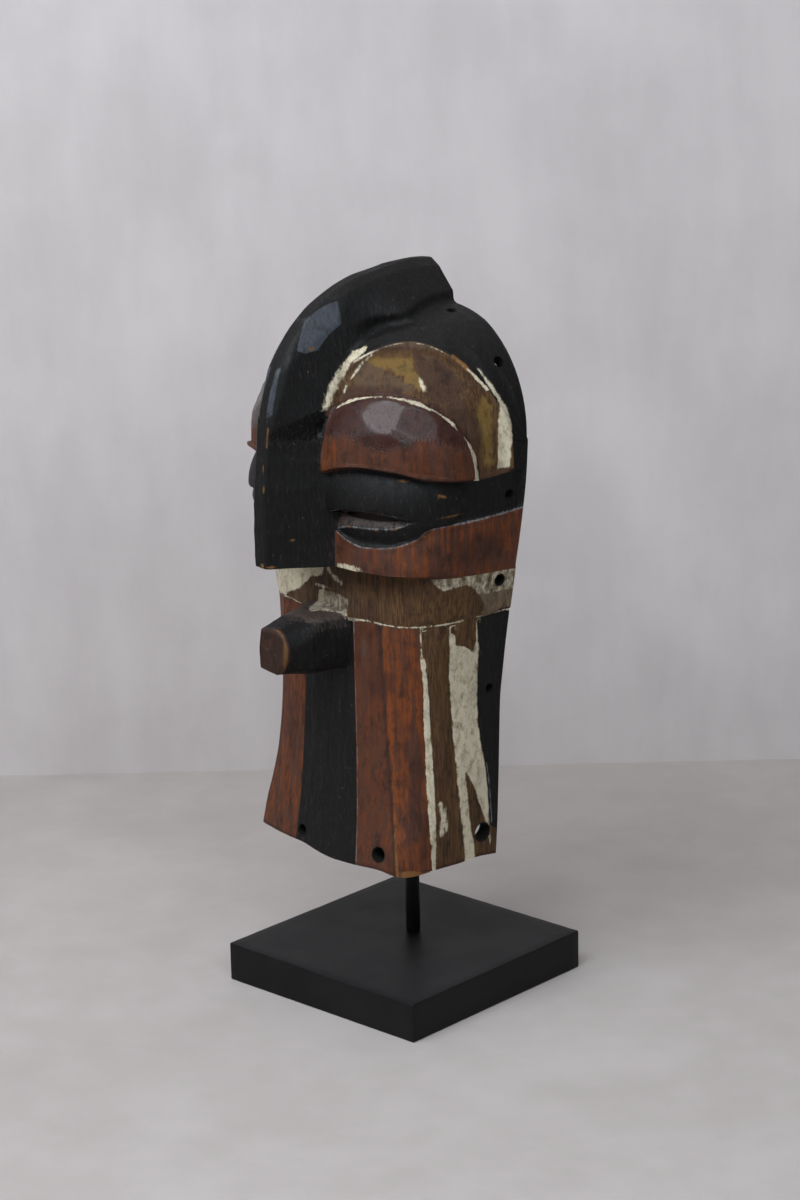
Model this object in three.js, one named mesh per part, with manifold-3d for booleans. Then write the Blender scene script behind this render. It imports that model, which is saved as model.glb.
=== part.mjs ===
// A carved wooden face mask with a tall crest, held on a steel rod over a square base.
// Millimetres, +Z up. The origin is the centre of the base's underside, and the base's sides run along X
// and Y. The mask is modelled in a frame of its own: x is the wearer's left, -y is the way the face looks,
// z is up from the bottom edge, and y = 0 is the flat back rim. It is then turned, leaned and raised.

import * as THREE from 'three';
import { mergeVertices } from 'three/addons/utils/BufferGeometryUtils.js';
import Module from 'manifold-3d';

const wasm = await Module();
wasm.setup();
const { clamp, degToRad, lerp, smoothstep } = THREE.MathUtils;

// Stand
const baseSide = 120;
const baseThickness = 19;
const baseBevel = 0.8;
const rodDiameter = 7;
const rodPlace = new THREE.Vector2(-1.8, 8.3);
const rodTipHeight = 325;
const rodSides = 24;
const touchGap = 0.3;

// The rod's end sits in a socket bored up into the crown. The bore starts this far below the rod's tip.
const socketRun = 40;

// How the mask is held
const maskYaw = degToRad(-6);
const maskLean = degToRad(-3);
const maskBottomHeight = 71.5;
const backRimBehindRod = 4;

// Levels of the mask. Up to the head's centre a level is a height above the bottom edge. From there on the
// sections turn about the line y = 0, z = headCentre, and the level goes on by one for each degree.
const headCentre = 200;
const crownLevel = headCentre + 90;
const ledgeTop = 142.5;
const ledgeBottom = 140.5;

// Profiles of the body without its crest, as stations of level and millimetres
const halfWidth = profile([
  [0, 55.4], [20, 55.9], [40, 55.8], [75, 55.4], [95, 57], [115, 59.3], [142, 63.2], [165, 66.6], [188, 68.8],
  [headCentre, 69],
]);
const beardDepth = profile([[0, 56.5], [40, 56], [80, 56.5], [118, 57], [ledgeBottom, 57]]);
const headDepth = profile([
  [ledgeTop, 68.5], [165, 69.5], [186, 70], [headCentre, 70.5], [218, 71.5], [232, 70.5], [246, 67],
  [268, 62.4], [crownLevel, 60.8],
]);

// How far the middle of the front stands out beyond that depth
const frontBow = profile([[0, 6], [25, 3.5], [60, 2.5], [crownLevel, 2]]);

// How square a section is: 2 makes an ellipse, and more is boxier
const squareness = profile([
  [0, 10], [11, 8], [27, 5.2], [43, 4.1], [73, 3.7], [111, 3.7], [ledgeTop, 4.2], [158, 3.4], [171, 3],
  [186, 2.7], [headCentre, 2.6], [230, 2.4], [crownLevel, 2.2],
]);

// Crest: reach of its front, half its flat front, the width of its chamfer and how fast that falls away, and
// how fast its flanks spread
const crestReach = profile([
  [ledgeTop, 99.8], [157, 100.5], [175, 101], [headCentre, 100], [212, 99.6], [225, 97.6], [234, 95.4],
  [242, 92.2], [253, 87.4], [269, 80.8], [crownLevel, 77.2],
]);
const crestHalfFront = profile([[ledgeTop, 3.3], [245, 3.2], [crownLevel, 1.5]]);
const crestChamfer = profile([[ledgeTop, 0.8], [195, 1.2], [220, 3.2], [crownLevel, 5.5]]);
const crestChamferFall = 0.6;
const crestSpread = profile([
  [ledgeTop, 0.49], [headCentre, 0.47], [215, 0.38], [235, 0.31], [246, 0.42], [262, 0.9], [crownLevel, 0.96],
]);

// Face carving. Its places are s, the way round the face from the middle, and z, both in mm.
const faceRadius = 66;
const browArch = { s: 46, z: 187, across: 50.5, up: 59 };
const browRecess = 2.5;
const browWall = 4;
const lidDome = { s: 38, z: 186, across: 40.4, up: 38.2, height: 8.2 };
const bandTop = profile([
  [11, 185], [23, 189.5], [33, 191], [43, 190.2], [57, 186.8], [73, 185.3], [97, 188],
]);
const bandBottom = profile([
  [17, 160], [23, 156.7], [31, 154.6], [41, 155.5], [52, 159.6], [57, 164.2], [65, 165.7], [103, 170],
]);
const bandRecess = 1.5;
const bandWall = 2;
const upperLid = { s: 36, z: 176.5, across: 38, up: 19, height: 7.5 };
const eyeHollow = { s: 34, z: 167.3, across: 19, up: 3.8, depth: 6 };

// Eye slits go through the wall, turned to each side of the nose, from one distance from the axis to another.
const eyeSlit = { turn: degToRad(30), z: 169, halfWidth: 14, halfHeight: 1.5, from: 45, to: 85 };
const slitCurveSegments = 6;

// Hollow behind the face
const rimWidth = 10;
const wallThickness = 11;
const hollowSquareness = 2.8;
const pastRim = 5;

// Mouth, a tapered stub: half width and half height of its root and of its end, and how its sections follow
// each other from root to end, as shares of its length, with the last one drawn in to round the end's edge
const mouthRoot = { reach: 50, z: 106.5, halfWidth: 19, halfHeight: 17.5 };
const mouthEnd = { reach: 92.6, z: 102.5, halfWidth: 10.2, halfHeight: 11.3 };
const mouthSquareness = 3.2;
const mouthSections = [
  { share: 0, shrink: 0 }, { share: 0.35, shrink: 0 }, { share: 0.7, shrink: 0 }, { share: 0.97, shrink: 0 },
  { share: 1, shrink: 1.2 },
];
const mouthSides = 28;

// Lacing holes: where each one leaves the outside, and its diameter
const rimHoles = [
  { x: 57.3, y: -8.2, z: 236.5, diameter: 5.6 },
  { x: 67, y: -8.2, z: 176.8, diameter: 5 },
  { x: 62.6, y: -9, z: 136.3, diameter: 5.4 },
  { x: 56, y: -7.2, z: 83.2, diameter: 4.2 },
  { x: 55.6, y: -9.2, z: 13.6, diameter: 9 },
  { x: 28, y: -11, z: 258.5, diameter: 4 },
];
const frontHoles = [
  { x: 37.9, z: 8, diameter: 7 },
  { x: -14.2, z: 7.3, diameter: 5.6 },
];
const rimBore = { outside: 8, inside: 16, slant: 14 };
const frontBore = { from: 70, to: 40 };
const boreSides = 10;

// Fineness of the mesh. Half a section has a few columns for the crest and the rest for the body. The levels
// next to bandLevel are shifted, fading out by shiftEnd, so that a row follows the eye band's upper edge.
const bandLevel = 187;
const bandStep = 2;
const bandStart = 13;
const bandEnd = 100;
const shiftEnd = 212;
const crestColumns = 4;
const bodyColumns = 26;
const outlineSamples = 240;
const beardSplit = 18;
const outerLevels = [
  0, 3, 8, 16, 28, 44, 64, 88, 112, 128, ledgeBottom,
  ...steps(ledgeTop, bandLevel, 17), ...steps(bandLevel + bandStep, headCentre, 5),
  ...steps(headCentre, crownLevel, 24).slice(1),
];
const hollowLevels = [
  -6, 0, 25, 60, 90, 115, 135, 150, 170, headCentre, ...steps(headCentre, crownLevel, 8).slice(1),
];
const hollowColumns = 11;

function steps(first, last, count) {
  return Array.from({ length: count }, (_, i) => first + (last - first) * i / (count - 1));
}

function profile(stations) {
  // Smooth curve through the stations that never overshoots them.
  const count = stations.length;
  const slopes = [];
  for (let i = 0; i < count - 1; i += 1) {
    slopes.push((stations[i + 1][1] - stations[i][1]) / (stations[i + 1][0] - stations[i][0]));
  }
  const tangents = [slopes[0]];
  for (let i = 1; i < count - 1; i += 1) {
    const product = slopes[i - 1] * slopes[i];
    tangents.push(product > 0 ? 2 * product / (slopes[i - 1] + slopes[i]) : 0);
  }
  tangents.push(slopes[count - 2]);
  return (level) => {
    const place = clamp(level, stations[0][0], stations[count - 1][0]);
    let i = 0;
    while (i < count - 2 && place > stations[i + 1][0]) i += 1;
    const step = stations[i + 1][0] - stations[i][0];
    const s = (place - stations[i][0]) / step;
    const rest = 1 - s;
    return stations[i][1] * (1 + 2 * s) * rest * rest + tangents[i] * step * s * rest * rest
      + stations[i + 1][1] * s * s * (3 - 2 * s) - tangents[i + 1] * step * s * s * rest;
  };
}

function placeInMask(level, x, reach) {
  // The point of a section that lies x to the side and reaches this far out from the back rim.
  const turn = degToRad(Math.max(0, level - headCentre));
  return new THREE.Vector3(x, -reach * Math.cos(turn), Math.min(level, headCentre) + reach * Math.sin(turn));
}

function quarterOutline(width, depth, bow, power) {
  // From the middle of the front to the side rim, as points of x and reach.
  const points = [];
  for (let i = 0; i <= outlineSamples; i += 1) {
    const angle = Math.PI / 2 * i / outlineSamples;
    const x = width * Math.sin(angle) ** (2 / power);
    const bowed = depth + bow * (1 - (x / width) ** 2);
    points.push(new THREE.Vector2(x, bowed * Math.cos(angle) ** (2 / power)));
  }
  points[0].x = 0;
  points[outlineSamples].y = 0;
  return points;
}

function spread(points, count) {
  // The same line in equal steps of its length.
  const lengths = [0];
  for (let i = 1; i < points.length; i += 1) {
    lengths.push(lengths[i - 1] + points[i].distanceTo(points[i - 1]));
  }
  const total = lengths[lengths.length - 1];
  const result = [];
  let k = 0;
  for (let i = 0; i <= count; i += 1) {
    const want = total * i / count;
    while (k < points.length - 2 && lengths[k + 1] < want) k += 1;
    const span = lengths[k + 1] - lengths[k];
    const part = span > 0 ? (want - lengths[k]) / span : 0;
    result.push(points[k].clone().lerp(points[k + 1], clamp(part, 0, 1)));
  }
  return result;
}

function beyondOval(oval, s, z) {
  // Distance outside the oval, measured from its centre, and negative inside it.
  const away = Math.hypot(s - oval.s, z - oval.z);
  const ratio = Math.hypot((s - oval.s) / oval.across, (z - oval.z) / oval.up);
  return ratio > 0 ? away * (1 - 1 / ratio) : -Math.min(oval.across, oval.up);
}

function swell(oval, s, z, sharpness) {
  // 1 in the oval's middle and 0 at its edge; a low sharpness makes the edge steep.
  const ratio = Math.hypot((s - oval.s) / oval.across, (z - oval.z) / oval.up);
  return ratio < 1 ? (1 - ratio ** 2) ** sharpness : 0;
}

function faceRelief(point) {
  // How far the carving of the face stands out from the plain body, or is cut into it.
  const s = faceRadius * Math.atan2(Math.abs(point.x), -point.y);
  const z = point.z;
  if (z < ledgeTop || point.y > -1) return 0;
  const aboveBand = smoothstep(z - bandTop(s), 0, bandStep);
  const recess = browRecess * (1 - smoothstep(beyondOval(browArch, s, z), -browWall, 0));
  const dome = (lidDome.height + browRecess) * swell(lidDome, s, z, 0.6) - browRecess;
  const upper = upperLid.height * swell(upperLid, s, z, 0.9);
  const aboveCheek = smoothstep(z - bandBottom(s), 0, bandWall);
  const hollowHalf = eyeHollow.up * Math.sqrt(Math.max(0, 1 - ((s - eyeHollow.s) / eyeHollow.across) ** 2));
  const inHollow = hollowHalf > 0 ? (z - eyeHollow.z) / hollowHalf : 2;
  const eye = Math.abs(inHollow) < 1 ? eyeHollow.depth * clamp((1 + inHollow) / 2, 0, 1) : 0;
  const band = aboveCheek * (upper - bandRecess) - eye;
  return aboveBand * Math.max(dome, -recess) + (1 - aboveBand) * band;
}

function carved(level, points) {
  // The outline moved outwards by the carving of the face.
  return points.map((point, i) => {
    const relief = faceRelief(placeInMask(level, point.x, point.y));
    if (relief === 0) return point;
    const before = points[Math.max(0, i - 1)];
    const after = points[Math.min(points.length - 1, i + 1)];
    const along = after.clone().sub(before).normalize();
    return new THREE.Vector2(point.x - along.y * relief, point.y + along.x * relief);
  });
}

function crestLine(level, body) {
  // The crest from the middle of its front to its root, and the rest of the body from there.
  const front = crestReach(level);
  const half = crestHalfFront(level);
  const chamfer = crestChamfer(level);
  const chamferEnd = new THREE.Vector2(half + chamfer, front - crestChamferFall * chamfer);
  const beyond = (point) => point.x - chamferEnd.x - crestSpread(level) * (chamferEnd.y - point.y);
  const next = body.findIndex((point) => beyond(point) > 0);
  const before = beyond(body[next - 1]);
  const part = -before / (beyond(body[next]) - before);
  const root = body[next - 1].clone().lerp(body[next], part);
  const flank = chamferEnd.clone().lerp(root, 0.5);
  const crest = [new THREE.Vector2(0, front), new THREE.Vector2(half, front), chamferEnd, flank];
  return { crest, rest: [root, ...body.slice(next)] };
}

function halfSection(level) {
  const inBeard = level < ledgeTop;
  const depth = inBeard ? beardDepth(level) : headDepth(level);
  const plain = quarterOutline(halfWidth(level), depth, frontBow(level), squareness(level));
  if (inBeard) {
    const split = plain.findIndex((point) => point.x >= beardSplit);
    const crest = spread(plain.slice(0, split + 1), crestColumns).slice(0, crestColumns);
    return [...crest, ...spread(plain.slice(split), bodyColumns)];
  }
  const { crest, rest } = crestLine(level, carved(level, plain));
  return [...crest, ...spread(rest, bodyColumns)];
}

function bandShift(level, share) {
  // Moves the levels near the eye band's upper edge, so that one row of the mesh runs along that edge.
  const fade = level < bandLevel
    ? smoothstep(level, ledgeTop, bandLevel)
    : 1 - smoothstep(level, bandLevel + bandStep, shiftEnd);
  return fade * (bandTop(lerp(bandStart, bandEnd, share)) - bandLevel);
}

function halfRow(level) {
  // One row of the mesh, from the middle of the front to the rim.
  if (level < ledgeTop || level > shiftEnd) {
    return halfSection(level).map((point) => placeInMask(level, point.x, point.y));
  }
  return Array.from({ length: crestColumns + bodyColumns + 1 }, (_, j) => {
    const share = Math.max(0, (j - crestColumns) / bodyColumns);
    const shifted = level + bandShift(level, share) * Math.min(1, j / crestColumns);
    const point = halfSection(shifted)[j];
    return placeInMask(shifted, point.x, point.y);
  });
}

function shellFromRows(rows) {
  // A closed solid from rows of points: a grid, flat caps behind it and below it, and poles where rows meet.
  const width = rows[0].length;
  const positions = rows.flat().flatMap((point) => point.toArray());
  const faces = [];
  const quad = (a, b, c, d) => faces.push([a, b, c], [a, c, d]);
  for (let i = 0; i < rows.length - 1; i += 1) {
    const row = i * width;
    for (let j = 0; j < width - 1; j += 1) {
      quad(row + j, row + j + 1, row + width + j + 1, row + width + j);
    }
    quad(row + width - 1, row, row + width, row + 2 * width - 1);
  }
  const top = (rows.length - 1) * width;
  for (let j = 0; j < (width - 1) / 2; j += 1) {
    const far = width - 1 - j;
    quad(j, far, far - 1, j + 1);
    quad(top + j, top + j + 1, top + far - 1, top + far);
  }
  const geometry = new THREE.BufferGeometry();
  geometry.setAttribute('position', new THREE.Float32BufferAttribute(positions, 3));
  geometry.setIndex(faces.flat());
  return geometry;
}

function mirrored(half) {
  // A whole row from the half that starts in the middle of the front.
  const left = half.slice(1).reverse().map((point) => new THREE.Vector3(-point.x, point.y, point.z));
  return [...left, ...half];
}

function toSolid(geometry) {
  // Joins the shared vertices, leaves out triangles without area, and hands the mesh to the solid library.
  const plain = geometry.clone();
  plain.deleteAttribute('normal');
  plain.deleteAttribute('uv');
  const merged = mergeVertices(plain, 1e-4);
  const index = merged.getIndex().array;
  const faces = [];
  for (let i = 0; i < index.length; i += 3) {
    const [a, b, c] = [index[i], index[i + 1], index[i + 2]];
    if (a !== b && b !== c && c !== a) faces.push(a, b, c);
  }
  return new wasm.Manifold(new wasm.Mesh({
    numProp: 3,
    vertProperties: Float32Array.from(merged.getAttribute('position').array),
    triVerts: Uint32Array.from(faces),
  }));
}

function toGeometry(solid) {
  const mesh = solid.getMesh();
  const geometry = new THREE.BufferGeometry();
  geometry.setAttribute('position', new THREE.BufferAttribute(mesh.vertProperties, 3));
  geometry.setIndex(new THREE.BufferAttribute(mesh.triVerts, 1));
  const flat = geometry.toNonIndexed();
  flat.computeVertexNormals();
  return flat;
}

function outerBody() {
  return shellFromRows(outerLevels.map((level) => mirrored(halfRow(level))));
}

function hollow() {
  // The space behind the face, run on past the back rim and the bottom edge so that the cut leaves both open.
  const behind = (point) => new THREE.Vector3(point.x, pastRim, point.z);
  const rows = hollowLevels.map((level) => {
    const depth = (level < ledgeTop ? beardDepth(level) : headDepth(level)) - wallThickness;
    const outline = quarterOutline(halfWidth(level) - rimWidth, depth, 0, hollowSquareness);
    const half = spread(outline, hollowColumns).map((point) => placeInMask(level, point.x, point.y));
    const row = mirrored(half);
    return [behind(row[0]), ...row, behind(row[row.length - 1])];
  });
  rows.push(rows[rows.length - 1].map(behind));
  return toSolid(shellFromRows(rows));
}

function mouthStub() {
  // Rounded square sections from the root to the end, with the end's rim slightly rounded.
  const rounded = (value) => Math.sign(value) * Math.abs(value) ** (2 / mouthSquareness);
  const positions = [];
  mouthSections.forEach(({ share, shrink }) => {
    const reach = lerp(mouthRoot.reach, mouthEnd.reach, share);
    const width = lerp(mouthRoot.halfWidth, mouthEnd.halfWidth, share) - shrink;
    const height = lerp(mouthRoot.halfHeight, mouthEnd.halfHeight, share) - shrink;
    const z = lerp(mouthRoot.z, mouthEnd.z, share);
    for (let i = 0; i < mouthSides; i += 1) {
      const angle = 2 * Math.PI * i / mouthSides;
      positions.push(width * rounded(Math.cos(angle)), -reach, z + height * rounded(Math.sin(angle)));
    }
  });
  const faces = [];
  for (let i = 0; i < mouthSections.length - 1; i += 1) {
    for (let j = 0; j < mouthSides; j += 1) {
      const [a, b] = [i * mouthSides + j, i * mouthSides + (j + 1) % mouthSides];
      faces.push(a, b + mouthSides, a + mouthSides, a, b, b + mouthSides);
    }
  }
  const last = (mouthSections.length - 1) * mouthSides;
  for (let j = 1; j < mouthSides - 1; j += 1) {
    faces.push(0, j + 1, j, last, last + j, last + j + 1);
  }
  const geometry = new THREE.BufferGeometry();
  geometry.setAttribute('position', new THREE.Float32BufferAttribute(positions, 3));
  geometry.setIndex(faces);
  return toSolid(geometry);
}

function borer(diameter, start, end) {
  // A round cutter between two points.
  const way = end.clone().sub(start);
  const geometry = new THREE.CylinderGeometry(diameter / 2, diameter / 2, way.length(), boreSides);
  geometry.applyQuaternion(new THREE.Quaternion().setFromUnitVectors(
    new THREE.Vector3(0, 1, 0), way.clone().normalize(),
  ));
  geometry.translate(...start.clone().lerp(end, 0.5).toArray());
  return toSolid(geometry);
}

function eyeSlits() {
  // A lens-shaped cutter through the wall under each upper lid.
  const lens = new THREE.Shape();
  lens.absellipse(0, 0, eyeSlit.halfWidth, eyeSlit.halfHeight, 0, 2 * Math.PI);
  return [-1, 1].map((side) => {
    const geometry = new THREE.ExtrudeGeometry(lens, {
      depth: eyeSlit.to - eyeSlit.from, bevelEnabled: false, curveSegments: slitCurveSegments,
    });
    geometry.translate(0, 0, eyeSlit.from);
    geometry.rotateX(Math.PI / 2);
    geometry.rotateZ(side * eyeSlit.turn);
    geometry.translate(0, 0, eyeSlit.z);
    return toSolid(geometry);
  });
}

function lacingHoles() {
  // Rim holes run in from both sides towards the hollow's middle, slanting a little back, and front holes go
  // straight back.
  const holes = [];
  rimHoles.forEach(({ x, y, z, diameter }) => {
    [-1, 1].forEach((side) => {
      const mouth = new THREE.Vector3(side * x, y, z);
      const aim = new THREE.Vector3(0, y + rimBore.slant, Math.min(z, headCentre));
      const inwards = aim.sub(mouth).normalize();
      const start = mouth.clone().addScaledVector(inwards, -rimBore.outside);
      holes.push(borer(diameter, start, mouth.clone().addScaledVector(inwards, rimBore.inside)));
    });
  });
  frontHoles.forEach(({ x, z, diameter }) => {
    const start = new THREE.Vector3(x, -frontBore.from, z);
    holes.push(borer(diameter, start, new THREE.Vector3(x, -frontBore.to, z)));
  });
  return holes;
}

function maskToPart() {
  const turn = new THREE.Matrix4().makeRotationZ(maskYaw)
    .multiply(new THREE.Matrix4().makeRotationX(maskLean));
  const back = new THREE.Vector3(0, backRimBehindRod, 0).applyMatrix4(turn);
  const lift = new THREE.Matrix4().makeTranslation(
    rodPlace.x + back.x, rodPlace.y + back.y, maskBottomHeight + back.z,
  );
  return lift.multiply(turn);
}

function mask() {
  const socketDiameter = rodDiameter + 2 * touchGap;
  const onRod = (z) => new THREE.Vector3(rodPlace.x, rodPlace.y, z).applyMatrix4(maskToPart().invert());
  const socket = borer(socketDiameter, onRod(rodTipHeight - socketRun), onRod(rodTipHeight + touchGap));
  let solid = toSolid(outerBody()).add(mouthStub()).subtract(hollow());
  [socket, ...eyeSlits(), ...lacingHoles()].forEach((cutter) => {
    solid = solid.subtract(cutter);
  });
  const wood = new THREE.MeshStandardMaterial({ name: 'painted_wood', color: 0x3a2c22, roughness: 0.6 });
  const mesh = new THREE.Mesh(toGeometry(solid), wood);
  mesh.name = 'mask';
  mesh.applyMatrix4(maskToPart());
  return mesh;
}

function rod() {
  const length = rodTipHeight - baseThickness - touchGap;
  const geometry = new THREE.CylinderGeometry(rodDiameter / 2, rodDiameter / 2, length, rodSides);
  geometry.rotateX(Math.PI / 2);
  const steel = new THREE.MeshStandardMaterial({
    name: 'black_steel', color: 0x141416, roughness: 0.5, metalness: 0.4,
  });
  const mesh = new THREE.Mesh(geometry, steel);
  mesh.name = 'rod';
  mesh.position.set(rodPlace.x, rodPlace.y, baseThickness + touchGap + length / 2);
  return mesh;
}

function base() {
  const inner = baseSide - 2 * baseBevel;
  const half = inner / 2;
  const square = new THREE.Shape([
    new THREE.Vector2(-half, -half), new THREE.Vector2(half, -half),
    new THREE.Vector2(half, half), new THREE.Vector2(-half, half),
  ]);
  const geometry = new THREE.ExtrudeGeometry(square, {
    depth: baseThickness - 2 * baseBevel, bevelSize: baseBevel, bevelThickness: baseBevel, bevelSegments: 1,
  });
  const paint = new THREE.MeshStandardMaterial({ name: 'black_paint', color: 0x101012, roughness: 0.4 });
  const mesh = new THREE.Mesh(geometry, paint);
  mesh.name = 'base';
  mesh.position.set(0, 0, baseBevel);
  return mesh;
}

const part = new THREE.Group();
part.add(base(), rod(), mask());
export default part;
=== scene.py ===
# The looks of a carved wooden face mask that stands on a steel rod over a square board.
# Shapes are worked out in millimetres in the mask's own frame: x is the wearer's left, -y is the way the
# face looks, z is up from the bottom edge and y = 0 is the flat back rim. They are put in place in metres.

from math import cos, pi, radians, sin

import bmesh
import bpy
import numpy as np
from mathutils import Matrix, Vector


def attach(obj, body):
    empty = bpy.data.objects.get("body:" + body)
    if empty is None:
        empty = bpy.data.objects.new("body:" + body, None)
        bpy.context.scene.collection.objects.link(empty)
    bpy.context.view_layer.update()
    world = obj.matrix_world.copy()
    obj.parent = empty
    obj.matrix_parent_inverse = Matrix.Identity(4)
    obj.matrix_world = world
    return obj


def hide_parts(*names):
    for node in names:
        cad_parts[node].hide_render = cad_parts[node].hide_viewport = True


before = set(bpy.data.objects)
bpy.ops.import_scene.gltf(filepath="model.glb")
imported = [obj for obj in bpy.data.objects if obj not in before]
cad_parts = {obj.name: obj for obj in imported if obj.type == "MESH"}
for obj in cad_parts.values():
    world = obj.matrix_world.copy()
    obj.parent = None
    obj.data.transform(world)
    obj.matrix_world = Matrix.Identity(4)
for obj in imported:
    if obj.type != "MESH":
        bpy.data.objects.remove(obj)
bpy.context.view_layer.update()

MM = 0.001

# Stand
BASE_SIDE = 120
BASE_THICKNESS = 19
ROD_DIAMETER = 7
ROD_PLACE = (-1.8, 8.3)
ROD_TIP_HEIGHT = 325
TOUCH_GAP = 0.3

# How the mask is held
MASK_YAW = radians(-6)
MASK_LEAN = radians(-3)
MASK_BOTTOM_HEIGHT = 71.5
BACK_RIM_BEHIND_ROD = 4

# Levels of the mask. Up to the head's centre a level is a height above the bottom edge. From there on the
# sections turn about the line y = 0, z = HEAD_CENTRE, and the level goes on by one for each degree.
HEAD_CENTRE = 200
CROWN_LEVEL = 290
LEVEL_LENGTH = 1.6
LEDGE_TOP = 142.5
LEDGE_BOTTOM = 140.5


def profile(*stations):
    """Smooth curve through the stations that never overshoots them."""
    places, values = np.array(stations, float).T
    steps = np.diff(places)
    slopes = np.diff(values) / steps
    turns = slopes[:-1] * slopes[1:]
    sums = np.where(turns > 0, slopes[:-1] + slopes[1:], 1)
    tangents = np.concatenate([slopes[:1], np.where(turns > 0, 2 * turns / sums, 0), slopes[-1:]])

    def curve(at):
        at = np.clip(at, places[0], places[-1])
        i = np.clip(np.searchsorted(places, at, side="right") - 1, 0, len(steps) - 1)
        s = (at - places[i]) / steps[i]
        rest = 1 - s
        return (
            values[i] * (1 + 2 * s) * rest**2
            + tangents[i] * steps[i] * s * rest**2
            + values[i + 1] * s**2 * (3 - 2 * s)
            - tangents[i + 1] * steps[i] * s**2 * rest
        )

    return curve


def smoothstep(value, low, high):
    t = np.clip((value - low) / (high - low), 0, 1)
    return t * t * (3 - 2 * t)


# Profiles of the body without its crest, as stations of level and millimetres
half_width = profile(
    (0, 55.4), (20, 55.9), (40, 55.8), (75, 55.4), (95, 57), (115, 59.3), (142, 63.2), (165, 66.6),
    (188, 68.8), (HEAD_CENTRE, 69),
)
beard_depth = profile((0, 56.5), (40, 56), (80, 56.5), (118, 57), (LEDGE_BOTTOM, 57))
head_depth = profile(
    (LEDGE_TOP, 68.5), (165, 69.5), (186, 70), (HEAD_CENTRE, 70.5), (218, 71.5), (232, 70.5), (246, 67),
    (268, 62.4), (CROWN_LEVEL, 60.8),
)
front_bow = profile((0, 6), (25, 3.5), (60, 2.5), (CROWN_LEVEL, 2))
squareness = profile(
    (0, 10), (11, 8), (27, 5.2), (43, 4.1), (73, 3.7), (111, 3.7), (LEDGE_TOP, 4.2), (158, 3.4), (171, 3),
    (186, 2.7), (HEAD_CENTRE, 2.6), (230, 2.4), (CROWN_LEVEL, 2.2),
)
crest_reach = profile(
    (LEDGE_TOP, 99.8), (157, 100.5), (175, 101), (HEAD_CENTRE, 100), (212, 99.6), (225, 97.6), (234, 95.4),
    (242, 92.2), (253, 87.4), (269, 80.8), (CROWN_LEVEL, 77.2),
)
crest_half_front = profile((LEDGE_TOP, 3.3), (245, 3.2), (CROWN_LEVEL, 1.5))
crest_chamfer = profile((LEDGE_TOP, 0.8), (195, 1.2), (220, 3.2), (CROWN_LEVEL, 5.5))
CREST_CHAMFER_FALL = 0.6
crest_spread = profile(
    (LEDGE_TOP, 0.49), (HEAD_CENTRE, 0.47), (215, 0.38), (235, 0.31), (246, 0.42), (262, 0.9),
    (CROWN_LEVEL, 0.96),
)

# Face carving. Its places are s, the way round the face from the middle, and z, both in mm.
FACE_RADIUS = 66
BROW_ARCH = {"s": 46, "z": 187, "across": 50.5, "up": 59}
BROW_RECESS = 2.5
BROW_WALL = 3.6
LID_DOME = {"s": 38, "z": 186, "across": 40.4, "up": 38.2}
DOME_HEIGHT = 8.2
DOME_SWELL = 0.6
UPPER_LID = {"s": 36, "z": 176.5, "across": 38, "up": 19}
LID_HEIGHT = 7.5
LID_SWELL = 0.9
band_top = profile((11, 185), (23, 189.5), (33, 191), (43, 190.2), (57, 186.8), (73, 185.3), (97, 188))
band_bottom = profile(
    (17, 160), (23, 156.7), (31, 154.6), (41, 155.5), (52, 159.6), (57, 164.2), (65, 165.7), (103, 170)
)
BAND_STEP = 0.9
BAND_RECESS = 1.5
BAND_WALL = 1.4
slit_top = profile(
    (14, 168.2), (24, 171), (33, 171.8), (43, 170.6), (52, 168.6), (62, 174), (80, 177), (103, 179.5),
)
slit_low = profile(
    (14, 160.5), (18, 161.5), (26, 164), (34.6, 164.5), (41.5, 165), (46.5, 166.3), (51.5, 168.3),
)
SLIT_REACH = (13, 52)
SLIT_TAPERS = (3, 8)
SLIT_DEPTH = 6
SLIT_BEND = 0.8
SLIT_LEAST_HEIGHT = 0.3
EYE_SLIT = {"turn": radians(30), "z": 169, "half_width": 14, "half_height": 1.5, "start": 45, "end": 85}

# The far side of the face was carved a little lower than the near one, between these heights.
FAR_DROP = 3.5
FAR_DROP_RISES = (150, 175)
FAR_DROP_FADES = (205, 225)

# Lines cut or left proud on the beard, as stations of height and s
ridge_line = profile((0, 47.4), (22.7, 45.3), (50.8, 42.2), (79.8, 39.1), (112.6, 36.7))
RIDGE = {"height": 0.8, "width": 7}
first_line = profile(
    (0, 62.3), (8, 61.7), (32, 59.5), (51, 58.2), (71, 56.9), (87, 56.3), (101, 54.8), (118, 54.4),
)
second_line = profile(
    (0, 81.6), (4, 81.1), (29.5, 77), (50, 74), (70, 71.5), (90, 69.1), (105, 68.3), (118, 67.6),
)
neck_line = profile((0, 115.6), (15, 115.9), (30, 117.2), (44, 116.8), (63, 118), (83, 120), (102, 121))
GROOVE_WIDTH = 0.9
FIRST_GROOVE = 0.55
SECOND_GROOVE = 0.4
NECK_GROOVE = 0.5
NECK_PROUD = 0.45
NECK_STEP = 1.2
BEARD_FADE = 1.5

# How much the bottom edge rises, by the way round from the middle: minus is the far side
bottom_rise = profile(
    (-100, 1.5), (-40, 2), (-15, 2), (-2, 0.5), (10, -0.4), (22, 0), (37, 0.9), (50, -0.5), (65, 0.7),
    (78, 1), (88, 1.9), (103, 1.5),
)
RISE_FADE = 14

# Hollow behind the face
RIM_WIDTH = 10
WALL_THICKNESS = 11
HOLLOW_SQUARENESS = 2.8

# Mouth, a tapered stub
MOUTH_ROOT = {"reach": 50, "z": 106.5, "half_width": 19, "half_height": 17.5}
MOUTH_END = {"reach": 92.6, "z": 102.5, "half_width": 10.2, "half_height": 11.3}
MOUTH_SQUARENESS = 3.2

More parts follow.
